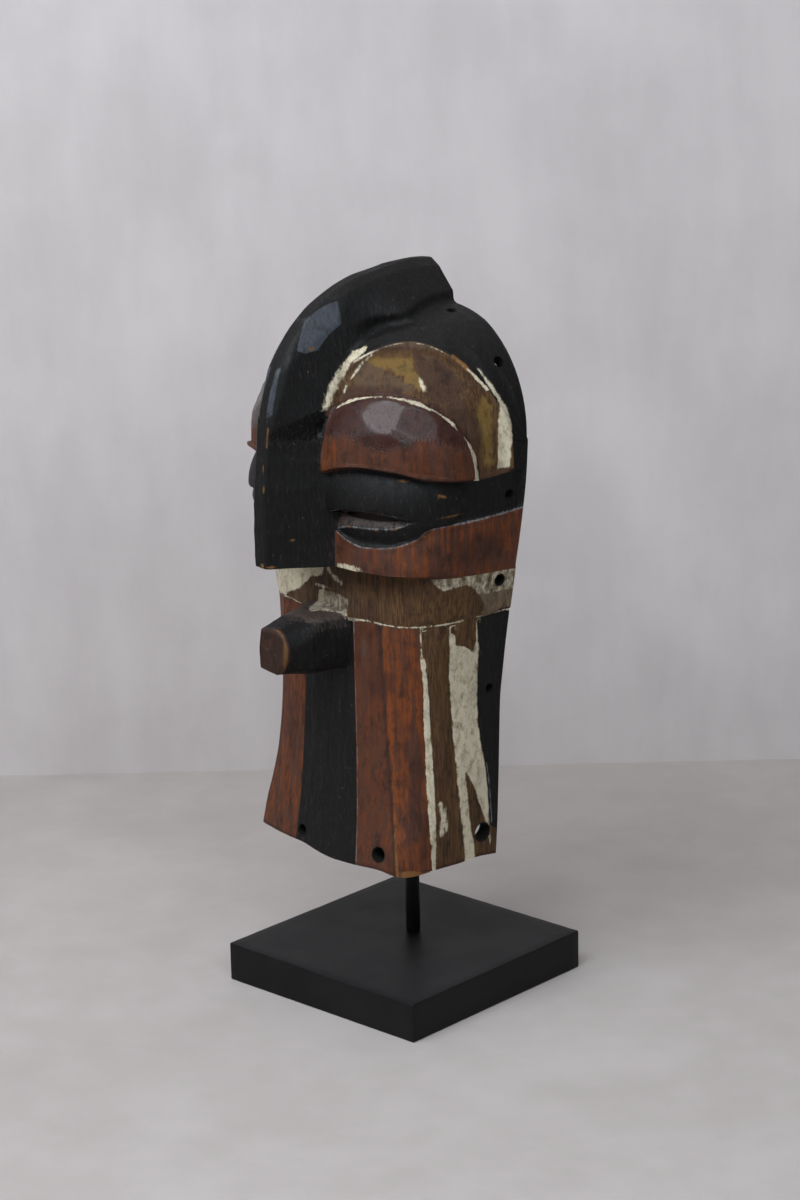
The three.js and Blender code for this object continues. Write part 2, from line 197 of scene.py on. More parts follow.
# Lacing holes: where each one leaves the outside, and its diameter
RIM_HOLES = (
    (57.3, -8.2, 236.5, 5.6), (67, -8.2, 176.8, 5), (62.6, -9, 136.3, 5.4), (56, -7.2, 83.2, 4.2),
    (55.6, -9.2, 13.6, 9), (28, -11, 258.5, 4),
)
FRONT_HOLES = ((37.9, 8, 7), (-14.2, 7.3, 5.6))
RIM_BORE = {"outside": 8, "inside": 16, "slant": 14}
FRONT_BORE = {"start": 70, "end": 40}
BORE_SIDES = 24
BORE_RINGS = 16
SOCKET_RUN = 40

# Fineness of the carving's mesh
FRONT_CELLS = 5
CHAMFER_CELLS = 5
FLANK_CELLS = 20
CREST_CELLS = FRONT_CELLS + CHAMFER_CELLS + FLANK_CELLS
BODY_CELLS = 90
OUTLINE_SAMPLES = 600
BEARD_SPLIT = 18
LEDGE_ROWS = 9
CROWN_ROWS = 100
HOLLOW_FINENESS = 76
RIM_LOOPS = (0.07, 0.3, 0.6)
SECTION_STEP = 0.2
UPPER_SECTIONS = 160

# Rows that move to run along a line of the face, each by the level it has at the crest
SHIFTED_ROWS = ((band_bottom, 160), (slit_top, 171), (band_top, 187))
SHIFT_END = 212
SHIFT_S = (13, 100)


def place_in_mask(level, x, reach):
    """Points that lie x to the side and reach this far out from the back rim, at their levels."""
    turn = np.radians(np.maximum(0, level - HEAD_CENTRE))
    return np.stack([x, -reach * np.cos(turn), np.minimum(level, HEAD_CENTRE) + reach * np.sin(turn)], -1)


def quarter_outline(width, depth, bow, power):
    """From the middle of the front to the side rim, as x and reach."""
    angle = np.linspace(0, pi / 2, OUTLINE_SAMPLES + 1)
    x = width * np.sin(angle) ** (2 / power)
    reach = (depth + bow * (1 - (x / width) ** 2)) * np.clip(np.cos(angle), 0, 1) ** (2 / power)
    reach[-1] = 0
    return np.stack([x, reach], -1)


def spread(points, count):
    """The same line in equal steps of its length."""
    lengths = np.concatenate([[0], np.cumsum(np.linalg.norm(np.diff(points, axis=0), axis=1))])
    want = np.linspace(0, lengths[-1], count + 1)
    return np.stack([np.interp(want, lengths, points[:, k]) for k in range(points.shape[1])], -1)


def oval_ratio(oval, s, z):
    return np.hypot((s - oval["s"]) / oval["across"], (z - oval["z"]) / oval["up"])


def beyond_oval(oval, s, z):
    """Distance outside the oval, measured from its centre, and negative inside it."""
    away = np.hypot(s - oval["s"], z - oval["z"])
    return away * (1 - 1 / np.maximum(oval_ratio(oval, s, z), 1e-3))


def swell(oval, s, z, sharpness):
    """1 in the oval's middle and 0 at its edge; a low sharpness makes the edge steep."""
    return np.clip(1 - oval_ratio(oval, s, z) ** 2, 0, 1) ** sharpness


def groove(distance, width):
    """1 in the middle of a groove and 0 from its edges on."""
    return 1 - smoothstep(np.abs(distance), 0, width)


def far_drop(side, z):
    """How much lower the features lie on the far side, around the height of the eyes."""
    drop = FAR_DROP * smoothstep(z, *FAR_DROP_RISES) * (1 - smoothstep(z, *FAR_DROP_FADES))
    return np.where(side < 0, drop, 0)


def way_round(points):
    """How far round the face the points lie, on either side of its middle."""
    return FACE_RADIUS * np.arctan2(np.abs(points[..., 0]), -points[..., 1])


def face_relief(points, side):
    """How far the carving of the head stands out from the plain body, or is cut into it."""
    s = way_round(points)
    z = points[..., 2] + far_drop(side, points[..., 2])
    above_band = smoothstep(z - band_top(s), 0, BAND_STEP)
    recess = BROW_RECESS * (1 - smoothstep(beyond_oval(BROW_ARCH, s, z), -BROW_WALL, 0))
    dome = (DOME_HEIGHT + BROW_RECESS) * swell(LID_DOME, s, z, DOME_SWELL) - BROW_RECESS
    lid = LID_HEIGHT * swell(UPPER_LID, s, z, LID_SWELL)
    above_cheek = smoothstep(z - band_bottom(s), 0, BAND_WALL)
    in_slit = (z - slit_low(s)) / np.maximum(slit_top(s) - slit_low(s), SLIT_LEAST_HEIGHT)
    start, end = SLIT_REACH
    open_here = (s > start) & (s < end) & (in_slit < 1)
    taper = smoothstep(s, start, start + SLIT_TAPERS[0]) * (1 - smoothstep(s, end - SLIT_TAPERS[1], end))
    slit = SLIT_DEPTH * taper * np.where(open_here, np.clip(in_slit, 0, 1) ** SLIT_BEND, 0)
    band = above_cheek * (lid - BAND_RECESS) - slit
    relief = above_band * np.maximum(dome, -recess) + (1 - above_band) * band
    return np.where(points[..., 1] > -1, 0, relief)


def beard_relief(points):
    """Ridges and scribed lines on the long plain part below the ledge, alike on both sides."""
    s, z = way_round(points), points[..., 2]
    neck = z - neck_line(s)
    on_beard = 1 - smoothstep(neck, -BEARD_FADE, 0)
    ridge = RIDGE["height"] * np.clip(1 - np.abs(s - ridge_line(z)) / RIDGE["width"], 0, 1)
    lines = FIRST_GROOVE * groove(s - first_line(z), GROOVE_WIDTH)
    lines = lines + SECOND_GROOVE * groove(s - second_line(z), GROOVE_WIDTH)
    proud = NECK_PROUD * smoothstep(neck, 0, NECK_STEP)
    return on_beard * (ridge - lines) + proud - NECK_GROOVE * groove(neck, GROOVE_WIDTH)


def carved(level, outline, relief):
    """The outline moved outwards by the carving."""
    points = place_in_mask(np.full(len(outline), float(level)), outline[:, 0], outline[:, 1])
    along = np.gradient(outline, axis=0)
    along /= np.maximum(np.linalg.norm(along, axis=1), 1e-9)[:, None]
    amount = relief(points)
    return outline + np.stack([-along[:, 1] * amount, along[:, 0] * amount], -1)


def head_section(level, side):
    """Half a section of the head: the crest from the middle of its front to its root, then the body."""
    body = quarter_outline(half_width(level), head_depth(level), front_bow(level), squareness(level))
    body = carved(level, body, lambda points: face_relief(points, side))
    front = crest_reach(level)
    half = crest_half_front(level)
    chamfer = crest_chamfer(level)
    corner = np.array([half + chamfer, front - CREST_CHAMFER_FALL * chamfer])
    beyond = body[:, 0] - corner[0] - crest_spread(level) * (corner[1] - body[:, 1])
    following = int(np.argmax(beyond > 0))
    share = -beyond[following - 1] / (beyond[following] - beyond[following - 1])
    root = body[following - 1] + share * (body[following] - body[following - 1])
    parts = [
        spread(np.array([[0, front], [half, front]]), FRONT_CELLS)[:-1],
        spread(np.array([[half, front], corner]), CHAMFER_CELLS)[:-1],
        spread(np.array([corner, root]), FLANK_CELLS)[:-1],
        spread(np.concatenate([[root], body[following:]]), BODY_CELLS),
    ]
    return np.concatenate(parts)


def beard_section(level):
    """Half a section below the ledge, with as many points as one of the head."""
    body = quarter_outline(half_width(level), beard_depth(level), front_bow(level), squareness(level))
    body = carved(level, body, beard_relief)
    split = int(np.argmax(body[:, 0] >= BEARD_SPLIT))
    return np.concatenate([spread(body[: split + 1], CREST_CELLS)[:-1], spread(body[split:], BODY_CELLS)])


def level_shifts(share, side):
    """How far rows move at the band's lower edge, the slit and the band's upper edge, to run along them."""
    s = SHIFT_S[0] + (SHIFT_S[1] - SHIFT_S[0]) * share
    return [line(s) - far_drop(side, line(s) - FAR_DROP / 2) - level for line, level in SHIFTED_ROWS]


def outer_levels():
    """Levels of the rows of beard and head, closer together where the carving turns sharply."""
    beard = np.concatenate([
        [0, 0.5, 1.2, 2.2], np.arange(3.6, LEDGE_BOTTOM - 0.8, 1.5), [LEDGE_BOTTOM - 0.5],
    ])
    head = np.concatenate([
        [LEDGE_TOP + 0.5, LEDGE_TOP + 1.2], np.arange(LEDGE_TOP + 2.2, 151, 1), np.arange(151.5, 170.6, 0.65),
        [170.95, 171.15], np.arange(171.8, 192, 0.65), np.arange(192.4, HEAD_CENTRE, 0.95),
        np.linspace(HEAD_CENTRE, CROWN_LEVEL, CROWN_ROWS),
    ])
    return beard, head


def half_rows(side):
    """All rows of one side, from the middle of the front to the rim: their levels, then x and reach."""
    beard, head = outer_levels()
    columns = np.arange(CREST_CELLS + BODY_CELLS + 1)
    share = np.clip((columns - CREST_CELLS) / BODY_CELLS, 0, 1)
    fade = np.clip(columns / CREST_CELLS, 0, 1)
    levels = [np.full(len(share), level) for level in beard]
    sections = [beard_section(level) for level in beard]
    under = [beard_section(LEDGE_BOTTOM), head_section(LEDGE_TOP, side)]
    for t in np.linspace(0, 1, LEDGE_ROWS):
        levels.append(np.full(len(share), LEDGE_BOTTOM + t * (LEDGE_TOP - LEDGE_BOTTOM)))
        sections.append(under[0] + t * (under[1] - under[0]))
    table_levels = np.concatenate([
        np.arange(LEDGE_TOP, SHIFT_END, SECTION_STEP), np.linspace(SHIFT_END, CROWN_LEVEL, UPPER_SECTIONS),
    ])
    table = np.array([head_section(level, side) for level in table_levels])
    stations = (LEDGE_TOP, *(row[1] for row in SHIFTED_ROWS), SHIFT_END)
    shifts = np.stack([0 * share, *level_shifts(share, side), 0 * share], -1)
    for level in head:
        shift = [np.interp(level, stations, shifts[j]) for j in columns]
        shifted = level + np.array(shift) * fade
        levels.append(shifted)
        sections.append(np.array([
            [np.interp(shifted[j], table_levels, table[:, j, k]) for k in range(2)] for j in columns
        ]))
    return np.array(levels), np.array(sections)


def hashed(i, j, seed):
    """An even spread of numbers from 0 to 1 for whole numbers i and j."""
    n = (i * 73856093) ^ (j * 19349663) ^ (seed * 83492791)
    n = (n ^ (n >> 13)) * 1274126177 & 0x7FFFFFFF
    return (n % 100003) / 100003


def scoops(u, v, size_u, size_v, depth, seed):
    """Depth of shallow hollows left by a curved blade, with ridges between them."""
    a, b = u / size_u, v / size_v
    i, j = np.floor(a).astype(np.int64), np.floor(b).astype(np.int64)
    nearest = np.full(np.shape(a), 9.0)
    for di in (-1, 0, 1):
        for dj in (-1, 0, 1):
            ca = i + di + 0.2 + 0.6 * hashed(i + di, j + dj, seed)
            cb = j + dj + 0.2 + 0.6 * hashed(i + di, j + dj, seed + 7)
            nearest = np.minimum(nearest, (a - ca) ** 2 + (b - cb) ** 2)
    return depth * np.maximum(0, 1 - nearest / 0.55)


def waves(u, v, size, seed):
    """Slow unevenness between -1 and 1."""
    rng = np.random.default_rng(seed)
    total = np.zeros(np.shape(u))
    for _ in range(6):
        direction, phase = rng.uniform(0, 2 * pi, 2)
        pitch = size * rng.uniform(0.7, 1.6)
        total += np.sin(2 * pi * (u * np.cos(direction) + v * np.sin(direction)) / pitch + phase)
    return total / 6


def places(points):
    """Where points of the carving lie: side, s, z on the near side's scale, level and reach."""
    x, y, z = points[..., 0], points[..., 1], points[..., 2]
    turned = np.degrees(np.arctan2(np.maximum(z - HEAD_CENTRE, 0), np.maximum(-y, 1e-6)))
    level = np.where(z > HEAD_CENTRE, HEAD_CENTRE + turned, z)
    reach = np.hypot(y, np.maximum(z - HEAD_CENTRE, 0))
    s = FACE_RADIUS * np.arctan2(np.abs(x), np.maximum(-y, 1e-6))
    return np.sign(x), s, z + far_drop(x, z), level, reach


# Tool marks by place: how far apart the scoops lie across and along, and how deep they are
MARK_SEED = 5
DOME_SCOOPS = (12, 9, 0.45)
FOREHEAD_SCOOPS = (12, 12, 0.9)
HOOD_SCOOPS = (17, 15, 0.8)
BEARD_SCOOPS = (11, 52, 0.4)
CHEEK_SCOOPS = (15, 9, 0.4)
FLANK_SCOOPS = (24, 15, 0.35)
GOUGE_SCOOPS = (9, 24, 1.1)
HOOD_LENGTH = 1.2
FLANK_LENGTH = 1.5
SLOW_WAVES = {"size": 45, "depth": 0.2}
HOLLOW_WAVES = {"size": 50, "depth": 0.3, "seed": 4}
terrace_edge = profile(
    (238, 12), (239.5, 13.8), (243.5, 19), (248, 23.4), (258, 30.4), (270, 36.1), (285, 39.5),
)
TERRACE_DROP = 2.2
TERRACE_STARTS = (238, 247)


def tool_marks(points, root_x):
    """How deep the blade went below the smooth form: scoops, a terrace beside the crest, slow waves."""
    side, s, z, level, reach = places(points)
    signed = side * s
    width = np.abs(points[..., 0])
    crest = (z > LEDGE_TOP - 1) & (width < root_x + 0.3)
    ratio = oval_ratio(LID_DOME, s, z)
    above = smoothstep(z - band_top(s), 0, 2)
    arch = beyond_oval(BROW_ARCH, s, z)
    dome = above * (1 - smoothstep(ratio, 0.86, 0.98))
    forehead = above * smoothstep(ratio, 1, 1.06) * (1 - smoothstep(arch, -4, -2))
    hood = above * smoothstep(arch, 0, 2)
    beard = 1 - smoothstep(z, LEDGE_BOTTOM - 3, LEDGE_BOTTOM)
    cheek = (1 - smoothstep(z - band_bottom(s), -3, -1)) * (1 - beard)
    marks = 0
    by_place = (
        (dome, z, DOME_SCOOPS), (forehead, z, FOREHEAD_SCOOPS), (hood, level * HOOD_LENGTH, HOOD_SCOOPS),
        (beard, z, BEARD_SCOOPS), (cheek, z, CHEEK_SCOOPS),
    )
    for k, (share, along, sizes) in enumerate(by_place):
        marks = marks + share * scoops(signed, along, *sizes, MARK_SEED + k)
    across = np.clip((width - root_x) / np.maximum(terrace_edge(level) - root_x, 1), 0, 1)
    terrace = smoothstep(level, *TERRACE_STARTS)
    marks = marks + TERRACE_DROP * (1 - across) * terrace * (z > LEDGE_TOP)
    flank = scoops(reach * side, level * FLANK_LENGTH, *FLANK_SCOOPS, MARK_SEED + len(by_place))
    flank = flank + TERRACE_DROP * smoothstep(width, root_x - 3, root_x) * terrace
    slow = SLOW_WAVES["depth"] * (1 + waves(signed, z, SLOW_WAVES["size"], MARK_SEED))
    return np.where(crest, flank, marks) + slow


def grid_normals(grid):
    """Unit normals of a grid of points, pointing out of the face."""
    along = np.gradient(grid, axis=1)
    up = np.gradient(grid, axis=0)
    normal = np.cross(along, up)
    return normal / np.maximum(np.linalg.norm(normal, axis=2), 1e-9)[..., None]


def soften(grid, rounds, amount):
    """Wears the edges of a grid by moving points towards their neighbours. Its border stays."""
    for _ in range(rounds):
        inner = grid[1:-1, 1:-1]
        mean = (grid[:-2, 1:-1] + grid[2:, 1:-1] + grid[1:-1, :-2] + grid[1:-1, 2:]) / 4
        grid = grid.copy()
        grid[1:-1, 1:-1] = inner + amount * (mean - inner)
    return grid


def pare(grid, centre, normal, radius, allowed):
    """Cuts a flat facet: points beyond the plane come down to it."""
    above = (grid - centre) @ normal
    near = (np.linalg.norm(grid - centre, axis=2) < radius) & allowed & (above > 0)
    return grid - np.where(near, above, 0)[..., None] * normal


# Flat facets round the top of each lid's dome: s, z, degrees turned away from the nose, degrees tilted
# up, and depth
DOME_FACETS = (
    (23, 209, 0, -1, 0.4), (38.5, 211.5, 2, 9, 0.5), (47.5, 213, 0, -9, 0.5), (56, 209.5, -3, 7, 0.6),
    (66, 202, -4, -5, 0.7), (30, 200, 4, -6, 0.5), (46, 202, 0, -8, 0.5), (57, 196, -3, -6, 0.5),
)
FACET_RADIUS = 14
FACET_INSIDE_DOME = 2.5
FACET_ABOVE_BAND = 3
FRONT_REACH = 55

# Flat cuts along both front edges of the crest: level, how far from the middle each starts on the front, and
# how deep it ends on the flank
CREST_CUTS = ((212, 2.4, 4), (236, 3.1, 11.5), (257, 2.6, 5), (276, 2.0, 5.5))
CUT_RADIUS = 24


def dome_facets(grid):
    side, s, z, _, reach = places(grid)
    normals = grid_normals(soften(grid, 6, 0.5))
    on_dome = (beyond_oval(LID_DOME, s, z) < -FACET_INSIDE_DOME) & (z > band_top(s) + FACET_ABOVE_BAND)
    for here in (-1, 1):
        for centre_s, centre_z, turn, lift, depth in DOME_FACETS:
            in_front = (side == here) & (reach > FRONT_REACH)
            away = np.where(in_front, np.hypot(s - centre_s, z - centre_z), np.inf)
            at = np.unravel_index(np.argmin(away), away.shape)
            normal = Vector(normals[at])
            normal.rotate(Matrix.Rotation(radians(here * turn), 3, "Z"))
            upwards = (Vector((0, 0, 1)) - normal * normal.z).normalized()
            normal = np.array(cos(radians(lift)) * normal + sin(radians(lift)) * upwards)
            grid = pare(grid, grid[at] - depth * normal, normal, FACET_RADIUS, (side == here) & on_dome)
    return grid


def crest_cuts(grid, on_crest):
    for level, start, depth in CREST_CUTS:
        front = crest_reach(level)
        corner_x = crest_half_front(level) + crest_chamfer(level)
        end_x = corner_x + crest_spread(level) * (depth - CREST_CHAMFER_FALL * crest_chamfer(level))
        ahead = [place_in_mask(at, 0.0, crest_reach(at)) for at in (level - 4, level + 4)]
        along = ahead[1] - ahead[0]
        for here in (-1, 1):
            first = place_in_mask(level, here * start, front)
            last = place_in_mask(level, here * end_x, front - depth)
            normal = here * np.cross(last - first, along)
            normal /= np.linalg.norm(normal)
            allowed = on_crest & (np.sign(grid[..., 0]) == here)
            grid = pare(grid, (first + last) / 2, normal, CUT_RADIUS, allowed)
    return grid


def raise_bottom(grid):
    """Moves the bottom edge up and down a little, as it was cut."""
    s = FACE_RADIUS * np.arctan2(grid[..., 0], np.maximum(-grid[..., 1], 1e-6))
    fade = np.clip(1 - grid[..., 2] / RISE_FADE, 0, 1) ** 2
    return grid + (bottom_rise(s) * fade)[..., None] * np.array([0, 0, 1])


def close_poles(grid, pole):
    """Rows from the pole on share its two end points."""
    for end in (0, -1):
        grid[pole:, end] = grid[pole, end]


def outside():
    """The grid of points of the outside, its pole row, and the x of the crest's root by level."""
    sides = {}
    for side in (-1, 1):
        levels, sections = half_rows(side)
        sides[side] = (levels, place_in_mask(levels, side * sections[..., 0], sections[..., 1]))
    roots = (levels[:, CREST_CELLS], sections[:, CREST_CELLS, 0])
    grid = np.concatenate([sides[-1][1][:, :0:-1], sides[1][1]], axis=1)
    past = (sides[-1][0][:, -1] >= HEAD_CENTRE - 1e-6) & (sides[1][0][:, -1] >= HEAD_CENTRE - 1e-6)
    pole = int(np.argmax(past))
    grid = soften(grid, 2, 0.35)
    z, level = places(grid)[2:4]
    marks = tool_marks(grid, np.interp(level, *roots))
    edge = np.minimum(1, np.abs(grid[..., 1]) / 3 + (z > HEAD_CENTRE + 2))
    grid = grid - grid_normals(grid) * (marks * edge)[..., None]
    grid = dome_facets(grid)
    column = np.abs(np.arange(grid.shape[1]) - (grid.shape[1] - 1) // 2)
    on_crest = (column <= CREST_CELLS)[None, :] & (level > LEDGE_TOP + 5)
    grid = crest_cuts(grid, on_crest)
    close_poles(grid, pole)
    return raise_bottom(grid), pole, roots


def inside(fine):
    """The grid of points of the hollow's wall, with the gouge's marks, and its pole row."""
    upper = np.linspace(HEAD_CENTRE, CROWN_LEVEL, fine // 2)[1:]
    levels = np.concatenate([np.linspace(0, HEAD_CENTRE, fine), upper])
    rows = []
    for level in levels:
        depth = (beard_depth(level) if level < LEDGE_TOP else head_depth(level)) - WALL_THICKNESS
        outline = quarter_outline(half_width(level) - RIM_WIDTH, depth, 0, HOLLOW_SQUARENESS)
        line = spread(outline, fine // 2)
        rows.append(place_in_mask(np.full(len(line), level), line[:, 0], line[:, 1]))
    half = np.array(rows)
    grid = np.concatenate([half[:, :0:-1] * np.array([-1, 1, 1]), half], axis=1)
    pole = fine - 1
    side, s, z, level, _ = places(grid)
    slow = HOLLOW_WAVES["depth"] * waves(side * s, level, HOLLOW_WAVES["size"], HOLLOW_WAVES["seed"])
    gouges = scoops(side * s, level, *GOUGE_SCOOPS, MARK_SEED + 11) + slow
    edge = np.clip(np.abs(grid[..., 1]) / 8, 0, 1) * np.clip(z / 6, 0, 1)
    grid = grid + grid_normals(grid) * (gouges * edge)[..., None]
    close_poles(grid, pole)
    return raise_bottom(grid), pole


def grid_faces(ids, flip):
    """Quads between the rows and columns of a grid of vertex numbers, as triangles at its poles."""
    faces = []
    for low, high in zip(ids[:-1], ids[1:]):
        for j in range(len(low) - 1):
            corners = [low[j], low[j + 1], high[j + 1], high[j]]
            face = [c for k, c in enumerate(corners) if c != corners[k - 1]]
            if len(face) > 2:
                faces.append(face[::-1] if flip else face)
    return faces


def border(ids, pole):
    """The edge of a grid as four runs of vertex numbers: bottom, one rim, crown and the other rim."""
    return [ids[0], ids[: pole + 1, -1], ids[-1][::-1], ids[: pole + 1, 0][::-1]]


def lengths_along(points):
    steps = np.linalg.norm(np.diff(points, axis=0), axis=1)
    total = np.concatenate([[0], np.cumsum(steps)])
    return total / total[-1]


def zip_runs(outer, inner, outer_at, inner_at):
    """Triangles between two runs of vertex numbers that are passed at these shares of their length."""
    faces = []
    i = j = 0
    while i < len(outer) - 1 or j < len(inner) - 1:
        step_outer = j == len(inner) - 1 or (i < len(outer) - 1 and outer_at[i + 1] <= inner_at[j + 1])
        if step_outer:
            faces.append([outer[i], inner[j], outer[i + 1]])
            i += 1
        else:
            faces.append([outer[i], inner[j], inner[j + 1]])
            j += 1
    return [face for face in faces if len(set(face)) == 3]


def carving_mesh():
    """The whole shell: outside, hollow and the rim between them, as vertices and faces."""
    outer, outer_pole, roots = outside()
    inner, inner_pole = inside(HOLLOW_FINENESS)
    points = [*outer.reshape(-1, 3), *inner.reshape(-1, 3)]
    outer_ids = np.arange(outer.shape[0] * outer.shape[1]).reshape(outer.shape[:2])
    inner_ids = outer_ids.size + np.arange(inner.shape[0] * inner.shape[1]).reshape(inner.shape[:2])
    close_poles(outer_ids, outer_pole)
    close_poles(inner_ids, inner_pole)
    faces = grid_faces(outer_ids, False) + grid_faces(inner_ids, True)
    corner_of = {}
    for run, inner_run in zip(border(outer_ids, outer_pole), border(inner_ids, inner_pole)):
        edge = np.array([points[k] for k in run])
        far = np.array([points[k] for k in inner_run])
        at, far_at = lengths_along(edge), lengths_along(far)
        partner = np.stack([np.interp(at, far_at, far[:, k]) for k in range(3)], -1)
        last = list(run)
        for share in RIM_LOOPS:
            loop = edge + share * (partner - edge)
            ids = []
            for k, point in enumerate(loop):
                key = (run[k], share)
                if key not in corner_of:
                    corner_of[key] = len(points)
                    points.append(point)
                ids.append(corner_of[key])
            for k in range(len(run) - 1):
                faces.append([last[k], ids[k], ids[k + 1], last[k + 1]])
            last = ids
        faces += zip_runs(last, list(inner_run), at, far_at)
    return np.array(points), faces, roots


def linked(name, data):
    """A new object in the scene."""
    thing = bpy.data.objects.new(name, data)
    bpy.context.scene.collection.objects.link(thing)
    return thing


def new_mesh(name, points, faces):
    """A clean object from points and faces, its normals pointing outwards."""
    mesh = bpy.data.meshes.new(name)
    mesh.from_pydata([tuple(p) for p in points], [], [tuple(int(k) for k in f) for f in faces])
    mesh.validate()
    body = bmesh.new()
    body.from_mesh(mesh)
    bmesh.ops.remove_doubles(body, verts=body.verts, dist=1e-4)
    bmesh.ops.dissolve_degenerate(body, edges=body.edges, dist=1e-5)
    bmesh.ops.recalc_face_normals(body, faces=body.faces)
    body.to_mesh(mesh)
    body.free()
    return linked(name, mesh)


def ringed(name, points, sides):
    """A closed body from rings of points that follow each other, with a flat face over each end."""
    faces = []
    for first in range(0, len(points) - sides, sides):
        for k in range(sides):
            a, b = first + k, first + (k + 1) % sides
            faces.append([a, b, b + sides, a + sides])
    faces += [list(range(sides))[::-1], list(range(len(points) - sides, len(points)))]
    return new_mesh(name, points, faces)


def round_angles(sides):
    return [2 * pi * k / sides for k in range(sides)]


def tube(name, start, end, radius):
    """A closed round cutter between two points."""
    way = (end - start).normalized()
    across = way.orthogonal().normalized()
    other = way.cross(across)
    points = []
    for r in range(BORE_RINGS):
        centre = start.lerp(end, r / (BORE_RINGS - 1))
        for angle in round_angles(BORE_SIDES):
            points.append(centre + radius * (cos(angle) * across + sin(angle) * other))
    return ringed(name, points, BORE_SIDES)


def apply_boolean(thing, cutter, operation):
    modifier = thing.modifiers.new("join", "BOOLEAN")
    modifier.operation = operation
    modifier.object = cutter
    modifier.solver = "MANIFOLD"
    with bpy.context.temp_override(object=thing, active_object=thing):
        bpy.ops.object.modifier_apply(modifier=modifier.name)
    bpy.data.objects.remove(cutter)


def join_all(things):
    """One object from several that don't touch, for a single cut."""
    body = bmesh.new()
    for thing in things:
        body.from_mesh(thing.data)
    mesh = bpy.data.meshes.new("cutters")
    body.to_mesh(mesh)
    body.free()
    for thing in things:
        bpy.data.objects.remove(thing)
    return linked("cutters", mesh)


MOUTH_SIDES = 72
MOUTH_ROWS = 34
MOUTH_END_ROUND = 1.5
MOUTH_END_INSETS = (2.3, 3.2, 4.5, 6, 8)
MOUTH_END_HOLLOW = 0.35
MOUTH_SCOOPS = (7, 19, 1.3)
MOUTH_SEED = 31
SLIT_SIDES = 28


def rounded(value):
    """Sine or cosine bent so that it goes round a square with soft corners."""
    return np.sign(value) * np.abs(value) ** (2 / MOUTH_SQUARENESS)


def mouth_size(reach):
    """Half width, half height and the height of the middle of the mouth's section."""
    share = (reach - MOUTH_ROOT["reach"]) / (MOUTH_END["reach"] - MOUTH_ROOT["reach"])
    sizes = ("half_width", "half_height", "z")
    return [MOUTH_ROOT[size] + share * (MOUTH_END[size] - MOUTH_ROOT[size]) for size in sizes]


def mouth_stub():
    """Rounded square sections from root to end, pared with a knife, and a slightly hollowed end face."""
    length = MOUTH_END["reach"] - MOUTH_ROOT["reach"]
    last = 1 - MOUTH_END_ROUND / length
    rows = [(share, 0, 0) for share in np.linspace(0, last, MOUTH_ROWS)]
    for angle in np.linspace(0, pi / 2, 5)[1:]:
        rows.append((1 - (1 - last) * (1 - sin(angle)), MOUTH_END_ROUND * (1 - cos(angle)), 0))
    for inset in MOUTH_END_INSETS:
        rows.append((1, inset, MOUTH_END_HOLLOW * min(1, (inset - MOUTH_END_ROUND) / 3)))
    angles = 2 * pi * np.arange(MOUTH_SIDES) / MOUTH_SIDES
    points = []
    for share, shrink, sink in rows:
        reach = MOUTH_ROOT["reach"] + share * length
        width, height, z = mouth_size(reach)
        knock = scoops(np.abs(angles - pi) * 9, np.full(MOUTH_SIDES, reach), *MOUTH_SCOOPS, MOUTH_SEED)
        knock = knock * (1 if shrink < MOUTH_END_ROUND else 0)
        across = (width - shrink - knock) * rounded(np.cos(angles))
        upwards = (height - shrink - knock) * rounded(np.sin(angles))
        points += list(np.stack([across, np.full(MOUTH_SIDES, sink - reach), z + upwards], -1))
    return ringed("mouth", points, MOUTH_SIDES)


def eye_slit(side):
    """A lens-shaped cutter through the wall under one upper lid."""
    width, height = EYE_SLIT["half_width"], EYE_SLIT["half_height"]
    up = Vector((0, 0, EYE_SLIT["z"] - (FAR_DROP if side < 0 else 0)))
    points = []
    for reach in (EYE_SLIT["start"], EYE_SLIT["end"]):
        for angle in round_angles(SLIT_SIDES):
            place = Vector((width * cos(angle), -reach, height * sin(angle)))
            place.rotate(Matrix.Rotation(side * EYE_SLIT["turn"], 3, "Z"))
            points.append(place + up)
    return ringed("slit", points, SLIT_SIDES)


def mask_matrix():
    turn = Matrix.Rotation(MASK_YAW, 4, "Z") @ Matrix.Rotation(MASK_LEAN, 4, "X")
    back = turn @ Vector((0, BACK_RIM_BEHIND_ROD, 0))
    place = Vector((ROD_PLACE[0] + back.x, ROD_PLACE[1] + back.y, MASK_BOTTOM_HEIGHT + back.z))
    return Matrix.Translation(place) @ turn


def bores():
    """Start, end and radius of every lacing hole."""
    holes = []
    for x, y, z, diameter in RIM_HOLES:
        for side in (-1, 1):
            mouth = Vector((side * x, y, z))
            inwards = (Vector((0, y + RIM_BORE["slant"], min(z, HEAD_CENTRE))) - mouth).normalized()
            start, end = mouth - RIM_BORE["outside"] * inwards, mouth + RIM_BORE["inside"] * inwards
            holes.append((start, end, diameter / 2))
    for x, z, diameter in FRONT_HOLES:
        start, end = Vector((x, -FRONT_BORE["start"], z)), Vector((x, -FRONT_BORE["end"], z))
        holes.append((start, end, diameter / 2))
    return holes


def hole_cutters():
    cutters = [eye_slit(-1), eye_slit(1)]
    cutters += [tube("hole", start, end, radius) for start, end, radius in bores()]
    to_mask = mask_matrix().inverted()
    heights = (ROD_TIP_HEIGHT - SOCKET_RUN, ROD_TIP_HEIGHT + TOUCH_GAP)
    low, high = (to_mask @ Vector((*ROD_PLACE, height)) for height in heights)
    cutters.append(tube("socket", low, high, ROD_DIAMETER / 2 + TOUCH_GAP))
    return cutters


